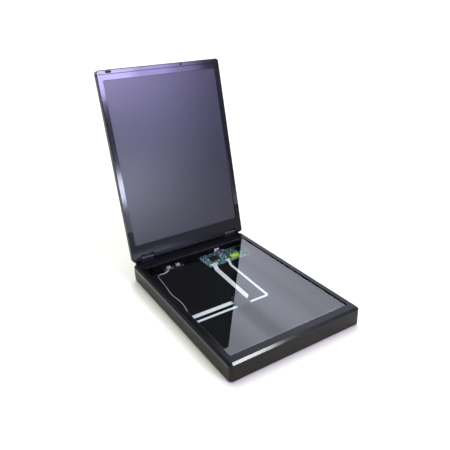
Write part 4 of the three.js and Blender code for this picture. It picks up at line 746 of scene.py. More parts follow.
class Solid:
    """A mesh built up from plain forms, in place, with a material number for each form."""

    def __init__(self, name: str) -> None:
        """Starts an empty mesh.

        Args:
            name: The mesh's name.
        """
        self.name = name
        self.shape = bmesh.new()

    def _finish_faces(self, verts: Iterable[bmesh.types.BMVert], number: int, smooth: bool) -> None:
        """Numbers and shades the faces of new corners.

        Args:
            verts: The corners.
            number: The material number of their faces.
            smooth: Whether the faces are shaded smooth.
        """
        for face in {face for vert in verts for face in vert.link_faces}:
            face.material_index = number
            face.smooth = smooth

    def block(self, low: Sequence[float], high: Sequence[float], number: int = 0, bevel: float = 0.0) -> "Solid":
        """Adds a block between two corners.

        Args:
            low: Its lowest corner.
            high: Its highest corner.
            number: The material number.
            bevel: The radius of its edges.

        Returns:
            The solid itself.
        """
        low, high = Vector(low), Vector(high)
        size = high - low
        place = Matrix.Translation((low + high) / 2) @ Matrix.Diagonal((*size, 1.0))
        made = bmesh.ops.create_cube(self.shape, size=1.0, matrix=place)["verts"]
        if bevel:
            edges = list(dict.fromkeys(edge for vert in made for edge in vert.link_edges))
            eased = bmesh.ops.bevel(
                self.shape, geom=edges, offset=bevel, segments=2, profile=0.5, affect="EDGES", clamp_overlap=True
            )
            made = list({vert for face in eased["faces"] for vert in face.verts})
        self._finish_faces(made, number, False)
        return self

    def part(
        self, place: Vector, near: Sequence[float], far: Sequence[float], number: int = 0, bevel: float = 0.0
    ) -> "Solid":
        """Adds a block whose corners and bevel are given in millimetres from a place."""
        return self.block(place + Vector(near) * MM, place + Vector(far) * MM, number, bevel * MM)

    def drum(
        self,
        start: Sequence[float],
        end: Sequence[float],
        radius: float,
        sides: int,
        number: int = 0,
        end_radius: Optional[float] = None,
    ) -> "Solid":
        """Adds a round bar or cone between two points.

        Args:
            start: The middle of one end.
            end: The middle of the other end.
            radius: The radius at the start.
            sides: How many sides it has.
            number: The material number.
            end_radius: The radius at the end, if it differs.

        Returns:
            The solid itself.
        """
        start, end = Vector(start), Vector(end)
        run = end - start
        place = Matrix.Translation((start + end) / 2) @ run.to_track_quat("Z", "Y").to_matrix().to_4x4()
        made = bmesh.ops.create_cone(
            self.shape,
            cap_ends=True,
            segments=sides,
            radius1=radius,
            radius2=radius if end_radius is None else end_radius,
            depth=run.length,
            matrix=place,
        )["verts"]
        self._finish_faces(made, number, True)
        return self

    def wire(self, path: Sequence[Vector], radius: float, sides: int) -> "Solid":
        """Adds a round wire along a path.

        Args:
            path: The middle of the wire, point by point.
            radius: Its radius.
            sides: How many sides it has.

        Returns:
            The solid itself.
        """
        rings = []
        for point, across, up in side_directions(path):
            angles = [math.tau * k / sides for k in range(sides)]
            ring = [point + radius * (math.cos(t) * across + math.sin(t) * up) for t in angles]
            rings.append([self.shape.verts.new(place) for place in ring])
        for first, second in zip(rings, rings[1:]):
            for k in range(sides):
                j = (k + 1) % sides
                self.shape.faces.new((first[k], first[j], second[j], second[k]))
        self.shape.faces.new(rings[0][::-1])
        self.shape.faces.new(rings[-1])
        self._finish_faces([vert for ring in rings for vert in ring], 0, True)
        return self

    def strip(self, rows: Sequence[Row], thickness: float) -> "Solid":
        """Adds a thin strip, with the map "run": X across it from 0 to 1 and Y along it in metres.

        Args:
            rows: The strip's two edges at each place along it.
            thickness: Its thickness.

        Returns:
            The solid itself.
        """
        run = self.shape.loops.layers.uv.get("run") or self.shape.loops.layers.uv.new("run")
        middles = [(a + b) / 2 for a, b in rows]
        rings, along = [], [0.0]
        for i, (a, b) in enumerate(rows):
            ahead = middles[min(i + 1, len(rows) - 1)] - middles[max(i - 1, 0)]
            out = (b - a).cross(ahead).normalized() * (thickness / 2)
            rings.append([self.shape.verts.new(p) for p in (a + out, b + out, b - out, a - out)])
            if i:
                along.append(along[-1] + (middles[i] - middles[i - 1]).length)
        across = (0.0, 1.0, 1.0, 0.0)
        for i, (first, second) in enumerate(zip(rings, rings[1:])):
            for k in range(4):
                j = (k + 1) % 4
                face = self.shape.faces.new((first[k], first[j], second[j], second[k]))
                places = ((across[k], i), (across[j], i), (across[j], i + 1), (across[k], i + 1))
                for loop, (u, row) in zip(face.loops, places):
                    loop[run].uv = (u, along[row])
        self.shape.faces.new(rings[0][::-1])
        self.shape.faces.new(rings[-1])
        self._finish_faces([vert for ring in rings for vert in ring], 0, True)
        return self

    def mesh(self, angle: float = 35.0) -> bpy.types.Mesh:
        """Ends the solid.

        Args:
            angle: Edges sharper than this many degrees stay sharp.

        Returns:
            The finished mesh, with its faces outwards.
        """
        mesh = bpy.data.meshes.new(self.name)
        bmesh.ops.recalc_face_normals(self.shape, faces=self.shape.faces)
        self.shape.to_mesh(mesh)
        self.shape.free()
        mesh.set_sharp_from_angle(angle=math.radians(angle))
        return mesh


# ---------------------------------------------------------------- routes


def eased(share: float) -> float:
    """A share from 0 to 1 along a smooth step."""
    return share * share * (3 - 2 * share)


def side_directions(path: Sequence[Vector]) -> list[tuple[Vector, Vector, Vector]]:
    """Each point of a path with two directions square to it that don't twist.

    Args:
        path: The points.

    Returns:
        Point, first direction and second direction.
    """
    made = []
    across = Vector((0.0, 0.0, 1.0))
    for i, point in enumerate(path):
        ahead = (path[min(i + 1, len(path) - 1)] - path[max(i - 1, 0)]).normalized()
        if i == 0 and abs(ahead.z) > STEEP:
            across = Vector((1.0, 0.0, 0.0))
        across = (across - across.dot(ahead) * ahead).normalized()
        made.append((point, across, ahead.cross(across)))
    return made


def smooth_route(points: Sequence[Vector], spans: int = 6) -> list[Vector]:
    """A centripetal curve through points.

    Args:
        points: The points that it passes.
        spans: How many steps lie between two of them.

    Returns:
        The curve's points.
    """
    whole = [2 * points[0] - points[1], *points, 2 * points[-1] - points[-2]]
    route = []
    for p0, p1, p2, p3 in zip(whole, whole[1:], whole[2:], whole[3:]):
        t1 = math.sqrt((p1 - p0).length)
        t2 = t1 + math.sqrt((p2 - p1).length)
        t3 = t2 + math.sqrt((p3 - p2).length)
        for k in range(spans):
            t = t1 + (t2 - t1) * k / spans
            a1 = p0.lerp(p1, t / t1)
            a2 = p1.lerp(p2, (t - t1) / (t2 - t1))
            a3 = p2.lerp(p3, (t - t2) / (t3 - t2))
            b1 = a1.lerp(a2, t / t2)
            b2 = a2.lerp(a3, (t - t1) / (t3 - t1))
            route.append(b1.lerp(b2, (t - t1) / (t2 - t1)))
    return [*route, points[-1].copy()]


def folded_rows(corners: Sequence[Vector], width: float) -> list[Row]:
    """The edges of a strip that is folded flat over itself at each corner.

    Args:
        corners: The middle line's start, folds and end; each z is the level of the stretch that follows.
        width: The strip's width.

    Returns:
        The rows of the strip.
    """
    legs = [(b - a).to_2d().normalized() for a, b in zip(corners, corners[1:])]
    rows: list[Row] = []
    side = width / 2
    for i, leg in enumerate(legs):
        left = Vector((-leg.y, leg.x, 0.0))
        start, end, level = corners[i], corners[i + 1], corners[i].z
        if i == 0:
            rows.append((start + side * left, start - side * left))
        if i + 1 == len(legs):
            last = Vector((end.x, end.y, level))
            rows.append((last + side * left, last - side * left))
            break
        crease = (leg + legs[i + 1]).normalized().to_3d()
        half = crease * (side / crease.dot(left))
        bulge = (leg - legs[i + 1]).normalized().to_3d() * (FOLD_BULGE * abs(end.z - level))
        for height, out in ((level, 0.0), ((level + end.z) / 2, 1.0), (end.z, 0.0)):
            middle = Vector((end.x, end.y, height)) + out * bulge
            rows.append((middle + half, middle - half))
        side = -side
    return rows


# ---------------------------------------------------------------- repeated forms


class Copies(Graph):
    """A Geometry Nodes tree with named inputs that is run on a mesh."""

    def __init__(self, name: str, **inputs: str) -> None:
        """Starts the tree with its inputs and its output.

        Args:
            name: The tree's name.
            inputs: The kinds of its inputs besides the geometry, by name.
        """
        tree = bpy.data.node_groups.new(name, "GeometryNodeTree")
        self.sockets = {}
        for label, kind in {"Geometry": "Geometry", **inputs}.items():
            self.sockets[label] = tree.interface.new_socket(label, in_out="INPUT", socket_type="NodeSocket" + kind)
        tree.interface.new_socket("Geometry", in_out="OUTPUT", socket_type="NodeSocketGeometry")
        super().__init__(tree)
        self.given = self.node("NodeGroupInput")

    def solidify(self, copies: Value) -> Value:
        """Realizes instances."""
        return self.node("GeometryNodeRealizeInstances", None, {0: copies})

    def coloured(self, geometry: Value, finish: str, chosen: Union[Value, bool] = True) -> Value:
        """Sets the material that the named input holds on the chosen faces."""
        sockets = {"Geometry": geometry, "Selection": chosen, "Material": self.given.other(finish)}
        return self.node("GeometryNodeSetMaterial", None, sockets)

    def ended(self, geometry: Value) -> "Copies":
        """Ends the tree in a geometry and returns it."""
        self.node("NodeGroupOutput", None, {0: geometry})
        return self

    def run(self, mesh: bpy.types.Mesh, **values: Union[float, Sequence[float], bpy.types.Material]) -> bpy.types.Mesh:
        """Runs the tree on a mesh.

        Args:
            mesh: What goes into the geometry input.
            values: The other inputs, by name.

        Returns:
            The result as a plain mesh.
        """
        holder = put(mesh.name, mesh)
        modifier = holder.modifiers.new(self.tree.name, "NODES")
        modifier.node_group = self.tree
        for label, value in values.items():
            modifier[self.sockets[label].identifier] = value
        made = bpy.data.meshes.new_from_object(holder.evaluated_get(bpy.context.evaluated_depsgraph_get()))
        bpy.data.objects.remove(holder)
        return made


def row_copies() -> Copies:
    """Builds a tree that repeats its geometry along a straight row.

    Returns:
        The tree.
    """
    g = Copies("straight_row", Count="Int", Step="Vector", Finish="Material")
    sockets = {"Count": g.given.other("Count"), "Offset": g.given.other("Step")}
    line = g.node("GeometryNodeMeshLine", {"mode": "OFFSET"}, sockets)
    copies = g.node("GeometryNodeInstanceOnPoints", None, {"Points": line, "Instance": g.given.other("Geometry")})
    return g.ended(g.coloured(g.solidify(copies), "Finish"))


def chip_scatter() -> Copies:
    """Builds a tree that strews small capped chips over its geometry, square to the board.

    Returns:
        The tree.
    """
    g = Copies("strewn_chips", Seed="Int", Spacing="Float", Size="Vector", Body="Material", Ends="Material")
    size = g.given.other("Size")

    def scaled(shares: Sequence[float]) -> Value:
        """The chip's size by shares."""
        return g.node("ShaderNodeVectorMath", {"operation": "MULTIPLY"}, {0: size, 1: tuple(shares)})

    def brick(shares: Sequence[float], place: Sequence[float], is_end: bool) -> Value:
        """Adds one block of the chip.

        Args:
            shares: Its size, as shares of the chip's.
            place: Its middle, as shares of the chip's size.
            is_end: Whether it is one of the soldered ends.

        Returns:
            The block.
        """
        block = g.node("GeometryNodeMeshCube", None, {"Size": scaled(shares)})
        moved = g.node("GeometryNodeTransform", None, {"Geometry": block, "Translation": scaled(place)})
        settings = {"data_type": "BOOLEAN", "domain": "FACE"}
        sockets = {"Geometry": moved, "Name": "is_end", "Value": is_end}
        return g.node("GeometryNodeStoreNamedAttribute", settings, sockets)

    densest, smallest, largest = 900000.0, 0.7, 1.4
    whole = g.node("GeometryNodeJoinGeometry")
    for block in (
        brick((0.62, 1.0, 1.0), (0.0, 0.0, 0.5), False),
        brick((0.22, 1.05, 1.06), (0.4, 0.0, 0.53), True),
        brick((0.22, 1.05, 1.06), (-0.4, 0.0, 0.53), True),
    ):
        g.tree.links.new(block.socket, whole.socket.node.inputs[0])
    sockets = {
        "Mesh": g.given.other("Geometry"),
        "Distance Min": g.given.other("Spacing"),
        "Density Max": densest,
        "Seed": g.given.other("Seed"),
    }
    points = g.node("GeometryNodeDistributePointsOnFaces", {"distribute_method": "POISSON"}, sockets)
    # Random Value's sockets: 2 and 3 hold a range of fractions, 4 and 5 one of whole numbers, and 8 the seed.
    quarter = g.node("FunctionNodeRandomValue", {"data_type": "INT"}, {4: 0, 5: 1, 8: g.given.other("Seed")}, out=2)
    euler = g.node("ShaderNodeCombineXYZ", None, {"Z": quarter * (math.pi / 2)})
    turn = g.node("FunctionNodeEulerToRotation", None, {0: euler})
    grow = g.node("FunctionNodeRandomValue", {"data_type": "FLOAT"}, {2: smallest, 3: largest, 8: 5}, out=1)
    sockets = {"Points": points, "Instance": whole, "Rotation": turn, "Scale": grow}
    real = g.solidify(g.node("GeometryNodeInstanceOnPoints", None, sockets))
    ends = g.node("GeometryNodeInputNamedAttribute", {"data_type": "BOOLEAN"}, {"Name": "is_end"})
    return g.ended(g.coloured(g.coloured(real, "Body"), "Ends", ends))


# ---------------------------------------------------------------- camera, floor and light


def towards(azimuth: float, elevation: float) -> Vector:
    """The direction at an azimuth from +Y towards +X and an elevation, in degrees."""
    a, e = math.radians(azimuth), math.radians(elevation)
    return Vector((math.sin(a) * math.cos(e), math.cos(a) * math.cos(e), math.sin(e)))


@dataclass(frozen=True)
class Softbox:
    """A far lamp that fills one window of directions."""

    name: str
    azimuths: Span
    elevations: Span
    radiance: float
    colour: Colour = (1.0, 1.0, 1.0)
    distance: float = 25.0
    centre: Triple = (0.0, 0.0, 0.15)

    def build(self) -> None:
        """Adds the lamp."""
        azimuth, elevation = sum(self.azimuths) / 2, sum(self.elevations) / 2
        middle = towards(azimuth, elevation)
        half_wide = math.radians(self.azimuths[1] - self.azimuths[0]) / 2 * math.cos(math.radians(elevation))
        half_high = math.radians(self.elevations[1] - self.elevations[0]) / 2
        lamp = bpy.data.lights.new(self.name, "AREA")
        lamp.shape = "RECTANGLE"
        lamp.size = 2 * self.distance * math.tan(half_wide)
        lamp.size_y = 2 * self.distance * math.tan(half_high)
        lamp.color = self.colour
        lamp.energy = self.radiance * math.pi * lamp.size * lamp.size_y
        holder = put(self.name, lamp)
        holder.location = Vector(self.centre) + middle * self.distance
        holder.rotation_euler = middle.to_track_quat("Z", "Y").to_euler()
        holder.visible_camera = False


@dataclass(frozen=True)
class Sky:
    """The room's light by direction: dim in front, bright bands over the back, white at the far floor.

    The heights are the upward part of a direction, from 0 at the horizon to 1 overhead, and the depths its part
    towards the back. The slope is how far a direction leans to the side for each step up.
    """

    strength: float = 1.9
    dim: Colour = (0.11, 0.11, 0.12)
    horizon: Colour = (1.15, 1.15, 1.15)
    overhead: Colour = (0.7, 0.7, 0.68)
    band_colour: Colour = (0.585, 0.61, 0.715)
    bands: tuple[Span, ...] = (
        (0.0, 1.52),
        (0.07, 1.66),
        (0.14, 1.83),
        (0.21, 1.86),
        (0.27, 1.43),
        (0.35, 1.36),
        (0.42, 1.75),
        (0.49, 1.88),
        (0.6, 1.91),
        (0.7, 1.71),
        (0.77, 1.58),
        (0.85, 1.68),
        (0.92, 1.62),
        (1.0, 1.5),
    )
    band_start: float = 0.68
    band_width: float = 0.42
    lowest: float = 0.05
    window_foot: Span = (0.2, 0.34)
    window_head: Span = (0.66, 0.8)
    window_depth: Span = (0.15, 0.4)
    window_slope: Span = (0.1, 0.5)
    side_share: float = 0.3
    horizon_height: Span = (0.06, 0.16)
    horizon_depth: Span = (-0.1, 0.15)
    overhead_height: Span = (0.78, 0.9)

    def build(self) -> None:
        """Sets the scene's world."""
        world = bpy.data.worlds.new("studio")
        bpy.context.scene.world = world
        world.use_nodes = True
        world.node_tree.nodes.clear()
        g = Graph(world.node_tree)
        way = g.node("ShaderNodeTexCoord", out="Generated")
        x = g.node("ShaderNodeSeparateXYZ", None, {0: way}, out="X")
        y, z = x.other("Y"), x.other("Z")
        slope = x / z.maths("MAXIMUM", z, self.lowest)
        place = (slope - self.band_start) / self.band_width
        stops = [(p, toned(self.band_colour, share)) for p, share in self.bands]
        bands = g.node("ShaderNodeValToRGB", {"stops": stops}, {0: place})
        beside = slope.step(*self.window_slope) * (1.0 - self.side_share) + self.side_share
        height = z.step(*self.window_foot) * (1.0 - z.step(*self.window_head))
        window = height * y.step(*self.window_depth) * beside
        far = (1.0 - z.step(*self.horizon_height)) * y.step(*self.horizon_depth)
        sky = g.mix(window, self.dim, bands)
        sky = g.mix(far, sky, self.horizon)
        sky = g.mix(z.step(*self.overhead_height), sky, self.overhead)
        lit = g.node("ShaderNodeBackground", None, {"Color": sky, "Strength": self.strength})
        g.node("ShaderNodeOutputWorld", None, {"Surface": lit})


@dataclass
class Studio:
    """The camera, the floor, the far wall and the lights."""

    eye: Triple = (-391.5 * MM, -618.3 * MM, 479.9 * MM)
    yaw: float = 31.05
    pitch: float = 24.65
    roll: float = -2.07
    lens: float = 39.459
    sensor: float = 36.0
    clip: Span = (0.02, 200.0)
    floor_half: float = 30.0
    floor_colour: Colour = (0.93, 0.92, 0.81)
    floor_tooth: float = 1.5 * MM
    wall_radius: float = 22.0
    wall_heights: Span = (-0.1, 26.0)
    wall_sides: int = 48
    sun: float = 1.7
    sun_colour: Colour = (0.97, 1.0, 1.06)
    sun_from: Span = (28.0, 66.0)
    sun_size: float = 46.0
    sky: Sky = Sky()
    softboxes: tuple[Softbox, ...] = (
        Softbox("wall_edge", (150.0, 153.0), (12.5, 34.0), 8.2, (0.53, 0.47, 1.0)),
        Softbox("wall_side", (153.0, 157.0), (12.5, 34.0), 18.0, (0.53, 0.46, 1.0)),
        Softbox("wall_middle", (157.0, 170.0), (14.0, 34.0), 27.0, (0.62, 0.55, 1.0)),
        Softbox("wall_low", (153.0, 160.0), (5.6, 12.4), 8.0, (0.5, 0.51, 1.0)),
        Softbox("white_strip_lamp", (158.0, 200.0), (2.0, 5.3), 28.0, (0.74, 0.79, 1.0)),
        Softbox("edge_lamp", (144.2, 158.0), (38.0, 43.0), 25.0),
    )

    def build(self) -> None:
        """Adds everything that isn't the scanner."""
        self._camera()
        self._floor()
        self._backdrop()
        self.sky.build()
        for softbox in self.softboxes:
            softbox.build()
        self._sun()
        bpy.context.scene.view_settings.view_transform = "Standard"
        log.info("made the studio")

    def _camera(self) -> None:
        """Adds the camera at the photograph's place."""
        yaw, pitch, roll = (math.radians(a) for a in (self.yaw, self.pitch, self.roll))
        ahead = Vector((math.sin(yaw) * math.cos(pitch), math.cos(yaw) * math.cos(pitch), -math.sin(pitch)))
        right = Vector((math.cos(yaw), -math.sin(yaw), 0.0))
        up = right.cross(ahead)
        turned_right = math.cos(roll) * right + math.sin(roll) * up
        turned_up = math.cos(roll) * up - math.sin(roll) * right
        lens = bpy.data.cameras.new("camera")
        lens.lens = self.lens
        lens.sensor_width = self.sensor
        lens.clip_start, lens.clip_end = self.clip
        camera = put("camera", lens)
        turn = Matrix((turned_right, turned_up, -ahead)).transposed().to_4x4()
        camera.matrix_world = Matrix.Translation(self.eye) @ turn
        bpy.context.scene.camera = camera

    def _floor(self) -> None:
        """Adds the white floor that the feet stand on."""
        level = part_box("foot_front_left")[0].z
        half = self.floor_half
        mesh = bpy.data.meshes.new("floor")
        corners = [(-half, -half, level), (half, -half, level), (half, half, level), (-half, half, level)]
        mesh.from_pydata(corners, [], [(0, 1, 2, 3)])
        s = Surface("floor_paper")
        tooth = s.noise(self.floor_tooth, 3)
        colour = s.mix(tooth, toned(self.floor_colour, 0.99), self.floor_colour)
        mesh.materials.append(s.finish(Base_Color=colour, Roughness=0.8, Specular_IOR_Level=0.2))
        put("floor", mesh)

    def _backdrop(self) -> None:
        """Adds a white wall all round, far off, that only the camera sees."""
        mesh = bpy.data.meshes.new("backdrop")
        n = self.wall_sides
        ring = [towards(i * 360 / n, 0.0) * self.wall_radius for i in range(n)]
        corners = [point + Vector((0.0, 0.0, z)) for z in self.wall_heights for point in ring]
        mesh.from_pydata(corners, [], [(i, i + n, (i + 1) % n + n, (i + 1) % n) for i in range(n)])
        s = Surface("backdrop_white")
        white = (1.0, 1.0, 1.0)
        glow = s.finish(Base_Color=white, Roughness=0.9, Emission_Color=white, Emission_Strength=1.0)
        mesh.materials.append(glow)
        wall = put("backdrop", mesh)
        wall.visible_diffuse = wall.visible_glossy = wall.visible_transmission = False
        wall.visible_shadow = wall.visible_volume_scatter = False

    def _sun(self) -> None:
        """Adds the broad light from above, which no gloss shows."""
        sun = bpy.data.lights.new("overhead_key", "SUN")
        sun.energy = self.sun
        sun.color = self.sun_colour
        sun.angle = math.radians(self.sun_size)
        holder = put("overhead_key", sun)
        holder.rotation_euler = towards(*self.sun_from).to_track_quat("Z", "Y").to_euler()
        holder.visible_glossy = False


# ---------------------------------------------------------------- sub-assemblies


@dataclass
class Housing:
    """The lower housing, the top frame with its rim, the feet, the rack and the screws."""

    edge: float = 0.35 * MM
    rim_edge: float = 0.22 * MM
    foot_edge: float = 0.2 * MM
    corner: float = 6.0 * MM
    corner_play: float = 0.1 * MM
    corner_margin: float = 0.5 * MM
    foot_slope: float = 1.3 * MM
    foot_inset: float = 0.13 * MM
    weld: float = 0.03 * MM
    sliver: float = 0.005 * MM
    wall: float = 1.6 * MM
    floor: float = 1.5 * MM
    border: float = 4.0 * MM
    slopes: Span = (0.6, 0.8)
    widening: float = 0.7 * MM
    lip: float = 9.0 * MM
    feet: tuple[str, ...] = ("foot_front_left", "foot_front_right", "foot_back_left", "foot_back_right")
    screws: tuple[str, ...] = (
        "housing_screw_right_front",
        "housing_screw_right_back",
        "housing_screw_back_left",
        "housing_screw_back_middle",
    )

    def build(self) -> None:
        """Makes the shells' smooth copies and dresses the rest."""
        housing = dressed("lower_housing", Finish.HOUSING, self.edge)
        self._round_corners(housing)
        keep_sharp(housing, self._boss_test())
        self._paint_inside_shade(housing)
        rim = dressed("top_frame", Finish.RIM, self.rim_edge)
        self._widen_edge_and_paint_highlight(rim)
        keep_sharp(rim, self._window_test())
        paint("drive_rack", Finish.CARRIAGE)
        for node in self.feet:
            dressed(node, Finish.RUBBER, self.foot_edge)
        for node in self.screws:
            dressed(node, Finish.DARK_STEEL)

    def _round_corners(self, housing: bpy.types.Object) -> None:
        """Draws the corner bosses' outer points back to the housing's rounded outline.

        Args:
            housing: The lower housing's piece.
        """
        low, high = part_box("lower_housing")
        shape = bmesh.new()
        shape.from_mesh(housing.data)
        for vert in shape.verts:
            centre_x = max(low.x + self.corner, min(high.x - self.corner, vert.co.x))
            centre_y = max(low.y + self.corner, vert.co.y)
            out = Vector((vert.co.x - centre_x, vert.co.y - centre_y))
            reach = self.corner if vert.co.z > self.foot_slope else self.corner - self.foot_inset
            if min(abs(out.x), abs(out.y)) > self.corner_margin and out.length > reach + self.corner_play:
                out = out.normalized() * reach
                vert.co.x, vert.co.y = centre_x + out.x, centre_y + out.y
        bmesh.ops.remove_doubles(shape, verts=shape.verts, dist=self.weld)
        bmesh.ops.dissolve_degenerate(shape, edges=shape.edges, dist=self.sliver)
        shape.to_mesh(housing.data)
        shape.free()

    def _paint_inside_shade(self, housing: bpy.types.Object) -> None:
        """Gives the faces inside the walls a deeper black than the outside, a painted shade that doesn't light the
        glass from below.

        Args:
            housing: The lower housing's piece.
        """
        mesh = housing.data
        mesh.materials.append(Finish.INSIDE.material)
        low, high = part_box("lower_housing")
        for face in mesh.polygons:
            x, y, z = face.center
            clear = min(x - low.x, high.x - x, y - low.y, high.y - y) > self.wall
            if clear and z > low.z + self.floor:
                face.material_index = 1

    def _widen_edge_and_paint_highlight(self, rim: bpy.types.Object) -> None:
        """Widens the rim's outer sloping edge and gives its front a smoother, shinier finish in a lighter colour,
        partly real gloss and partly a painted highlight.

        Args:
            rim: The top frame's piece.
        """
        mesh = rim.data
        mesh.materials.append(Finish.RIM_EDGE_GLOSS_AND_PAINTED_HIGHLIGHT.material)
        low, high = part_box("top_frame")
        flattest, steepest = self.slopes
        shifts: dict[int, Vector] = {}
        for face in mesh.polygons:
            flat = face.normal.to_2d()
            outside = abs(face.center.x) > high.x - self.border or face.center.y < low.y + self.border
            if not (outside and flattest < face.normal.z < steepest) or face.center.to_2d().dot(flat) < 0:
                continue
            # The front chamfer faces take the glossier, lighter finish, partly a painted highlight.
            if face.normal.y < -flattest:
                face.material_index = 1
            heights = [mesh.vertices[i].co.z for i in face.vertices]
            for i in face.vertices:
                top = mesh.vertices[i].co.z > (min(heights) + max(heights)) / 2
                shifts[i] = -flat.normalized().to_3d() * self.widening if top else Vector((0, 0, -self.widening))
        for i, shift in shifts.items():
            mesh.vertices[i].co += shift

    def _window_test(self) -> Callable[[Vector], bool]:
        """Returns a test for places by the window, where an eased edge would shine as a bright line."""
        low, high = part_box("top_frame")
        return lambda place: abs(place.x) < high.x - self.lip and low.y + self.lip < place.y < high.y - self.lip

    def _boss_test(self) -> Callable[[Vector], bool]:
        """Returns a test for places by a front corner's boss, whose edges are too short to ease."""
        low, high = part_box("lower_housing")
        return lambda place: abs(place.x) > high.x - self.lip and place.y < low.y + self.lip


@dataclass
class GlassPlate:
    """The platen glass and the white reference strip under the rim."""

    def build(self) -> None:
        """Paints both nodes."""
        paint("platen_glass", Finish.GLASS)
        paint("calibration_strip", Finish.STRIP)


@dataclass
class Lid:
    """The lid: cover, glossy bezel, satin panel, bumpers and screw cover."""

    edge: float = 0.25 * MM
    bezel_edge: float = 0.5 * MM
    rubber_edge: float = 0.2 * MM

    def build(self) -> None:
        """Makes smooth copies of the shells and paints the rest."""
        dressed("lid_shell", Finish.LID, self.edge)
        dressed("lid_bezel", Finish.GLOSS, self.bezel_edge, 3)
        dressed("lid_hinge_cover", Finish.COVER, self.edge)
        dressed("lid_top_strip", Finish.GLOSS, self.edge)
        paint("lid_panel", Finish.PANEL)
        for node in ("lid_bumper_left", "lid_bumper_right", "lid_screw_cover"):
            dressed(node, Finish.RUBBER, self.rubber_edge)


@dataclass
class Hinges:
    """The two steel hinges, each with a curled dark steel sheet between its ears, put there as painted shade."""

    edge: float = 0.3 * MM
    knuckle: float = 5.0 * MM
    gap: float = 0.3 * MM
    sheet_thickness: float = 0.8 * MM
    sheet_setback: float = 4.2 * MM
    sheet_foot: float = 17.0 * MM
    sheet_neck: float = 0.6 * MM
    sheet_overlap: float = 0.1 * MM
    sheet_arc: Span = (-105.0, -35.0)
    steps: int = 10

    def build(self) -> None:
        """Makes smooth copies of the brackets, arms and pins and adds the dark shade sheets."""
        for side in ("left", "right"):
            for part in ("bracket", "arm", "pin"):
                dressed(f"hinge_{part}_{side}", Finish.DARK_STEEL, self.edge)
            self._shade_sheet(side)

    def _shade_sheet(self, side: str) -> None:
        """Closes the gap under one knuckle with a dark plate that rises from the bracket and curls round it: painted
        shade that hides the view through the gap.

        Args:
            side: The hinge's side, left or right.
        """
        pin_low, pin_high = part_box(f"hinge_pin_{side}")
        arm_low, arm_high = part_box(f"hinge_arm_{side}")
        bracket_low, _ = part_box(f"hinge_bracket_{side}")
        axis = (pin_low + pin_high) / 2
        radius = self.knuckle + self.gap + self.sheet_thickness / 2
        foot_y = bracket_low.y + self.sheet_setback
        places = [(foot_y, bracket_low.z + self.sheet_foot), (foot_y, axis.z - radius - self.sheet_neck)]
        first, last = self.sheet_arc
        for i in range(self.steps + 1):
            angle = math.radians(first + (last - first) * i / self.steps)
            places.append((axis.y + radius * math.cos(angle), axis.z + radius * math.sin(angle)))
        left, right = arm_low.x - self.sheet_overlap, arm_high.x + self.sheet_overlap
        rows = [(Vector((left, y, z)), Vector((right, y, z))) for y, z in places]
        # A dark steel sheet, painted shade where the gap under the knuckle would show the floor.
        plate = Solid(f"hinge_shade_sheet_{side}").strip(rows, self.sheet_thickness)
        add_piece(plate.name, plate.mesh(), "base", [Finish.DARK_STEEL])


@dataclass(frozen=True)
class ChipLegs:
    """The bent legs along the sides of one chip."""

    node: str
    pitch: float
    width: float
    axes: tuple[int, ...]


@dataclass(frozen=True)
class StrewnParts:
    """One kind of small part that is strewn over the board."""

    name: str
    seed: int
    spacing: float
    size: Triple
    finish: Finish


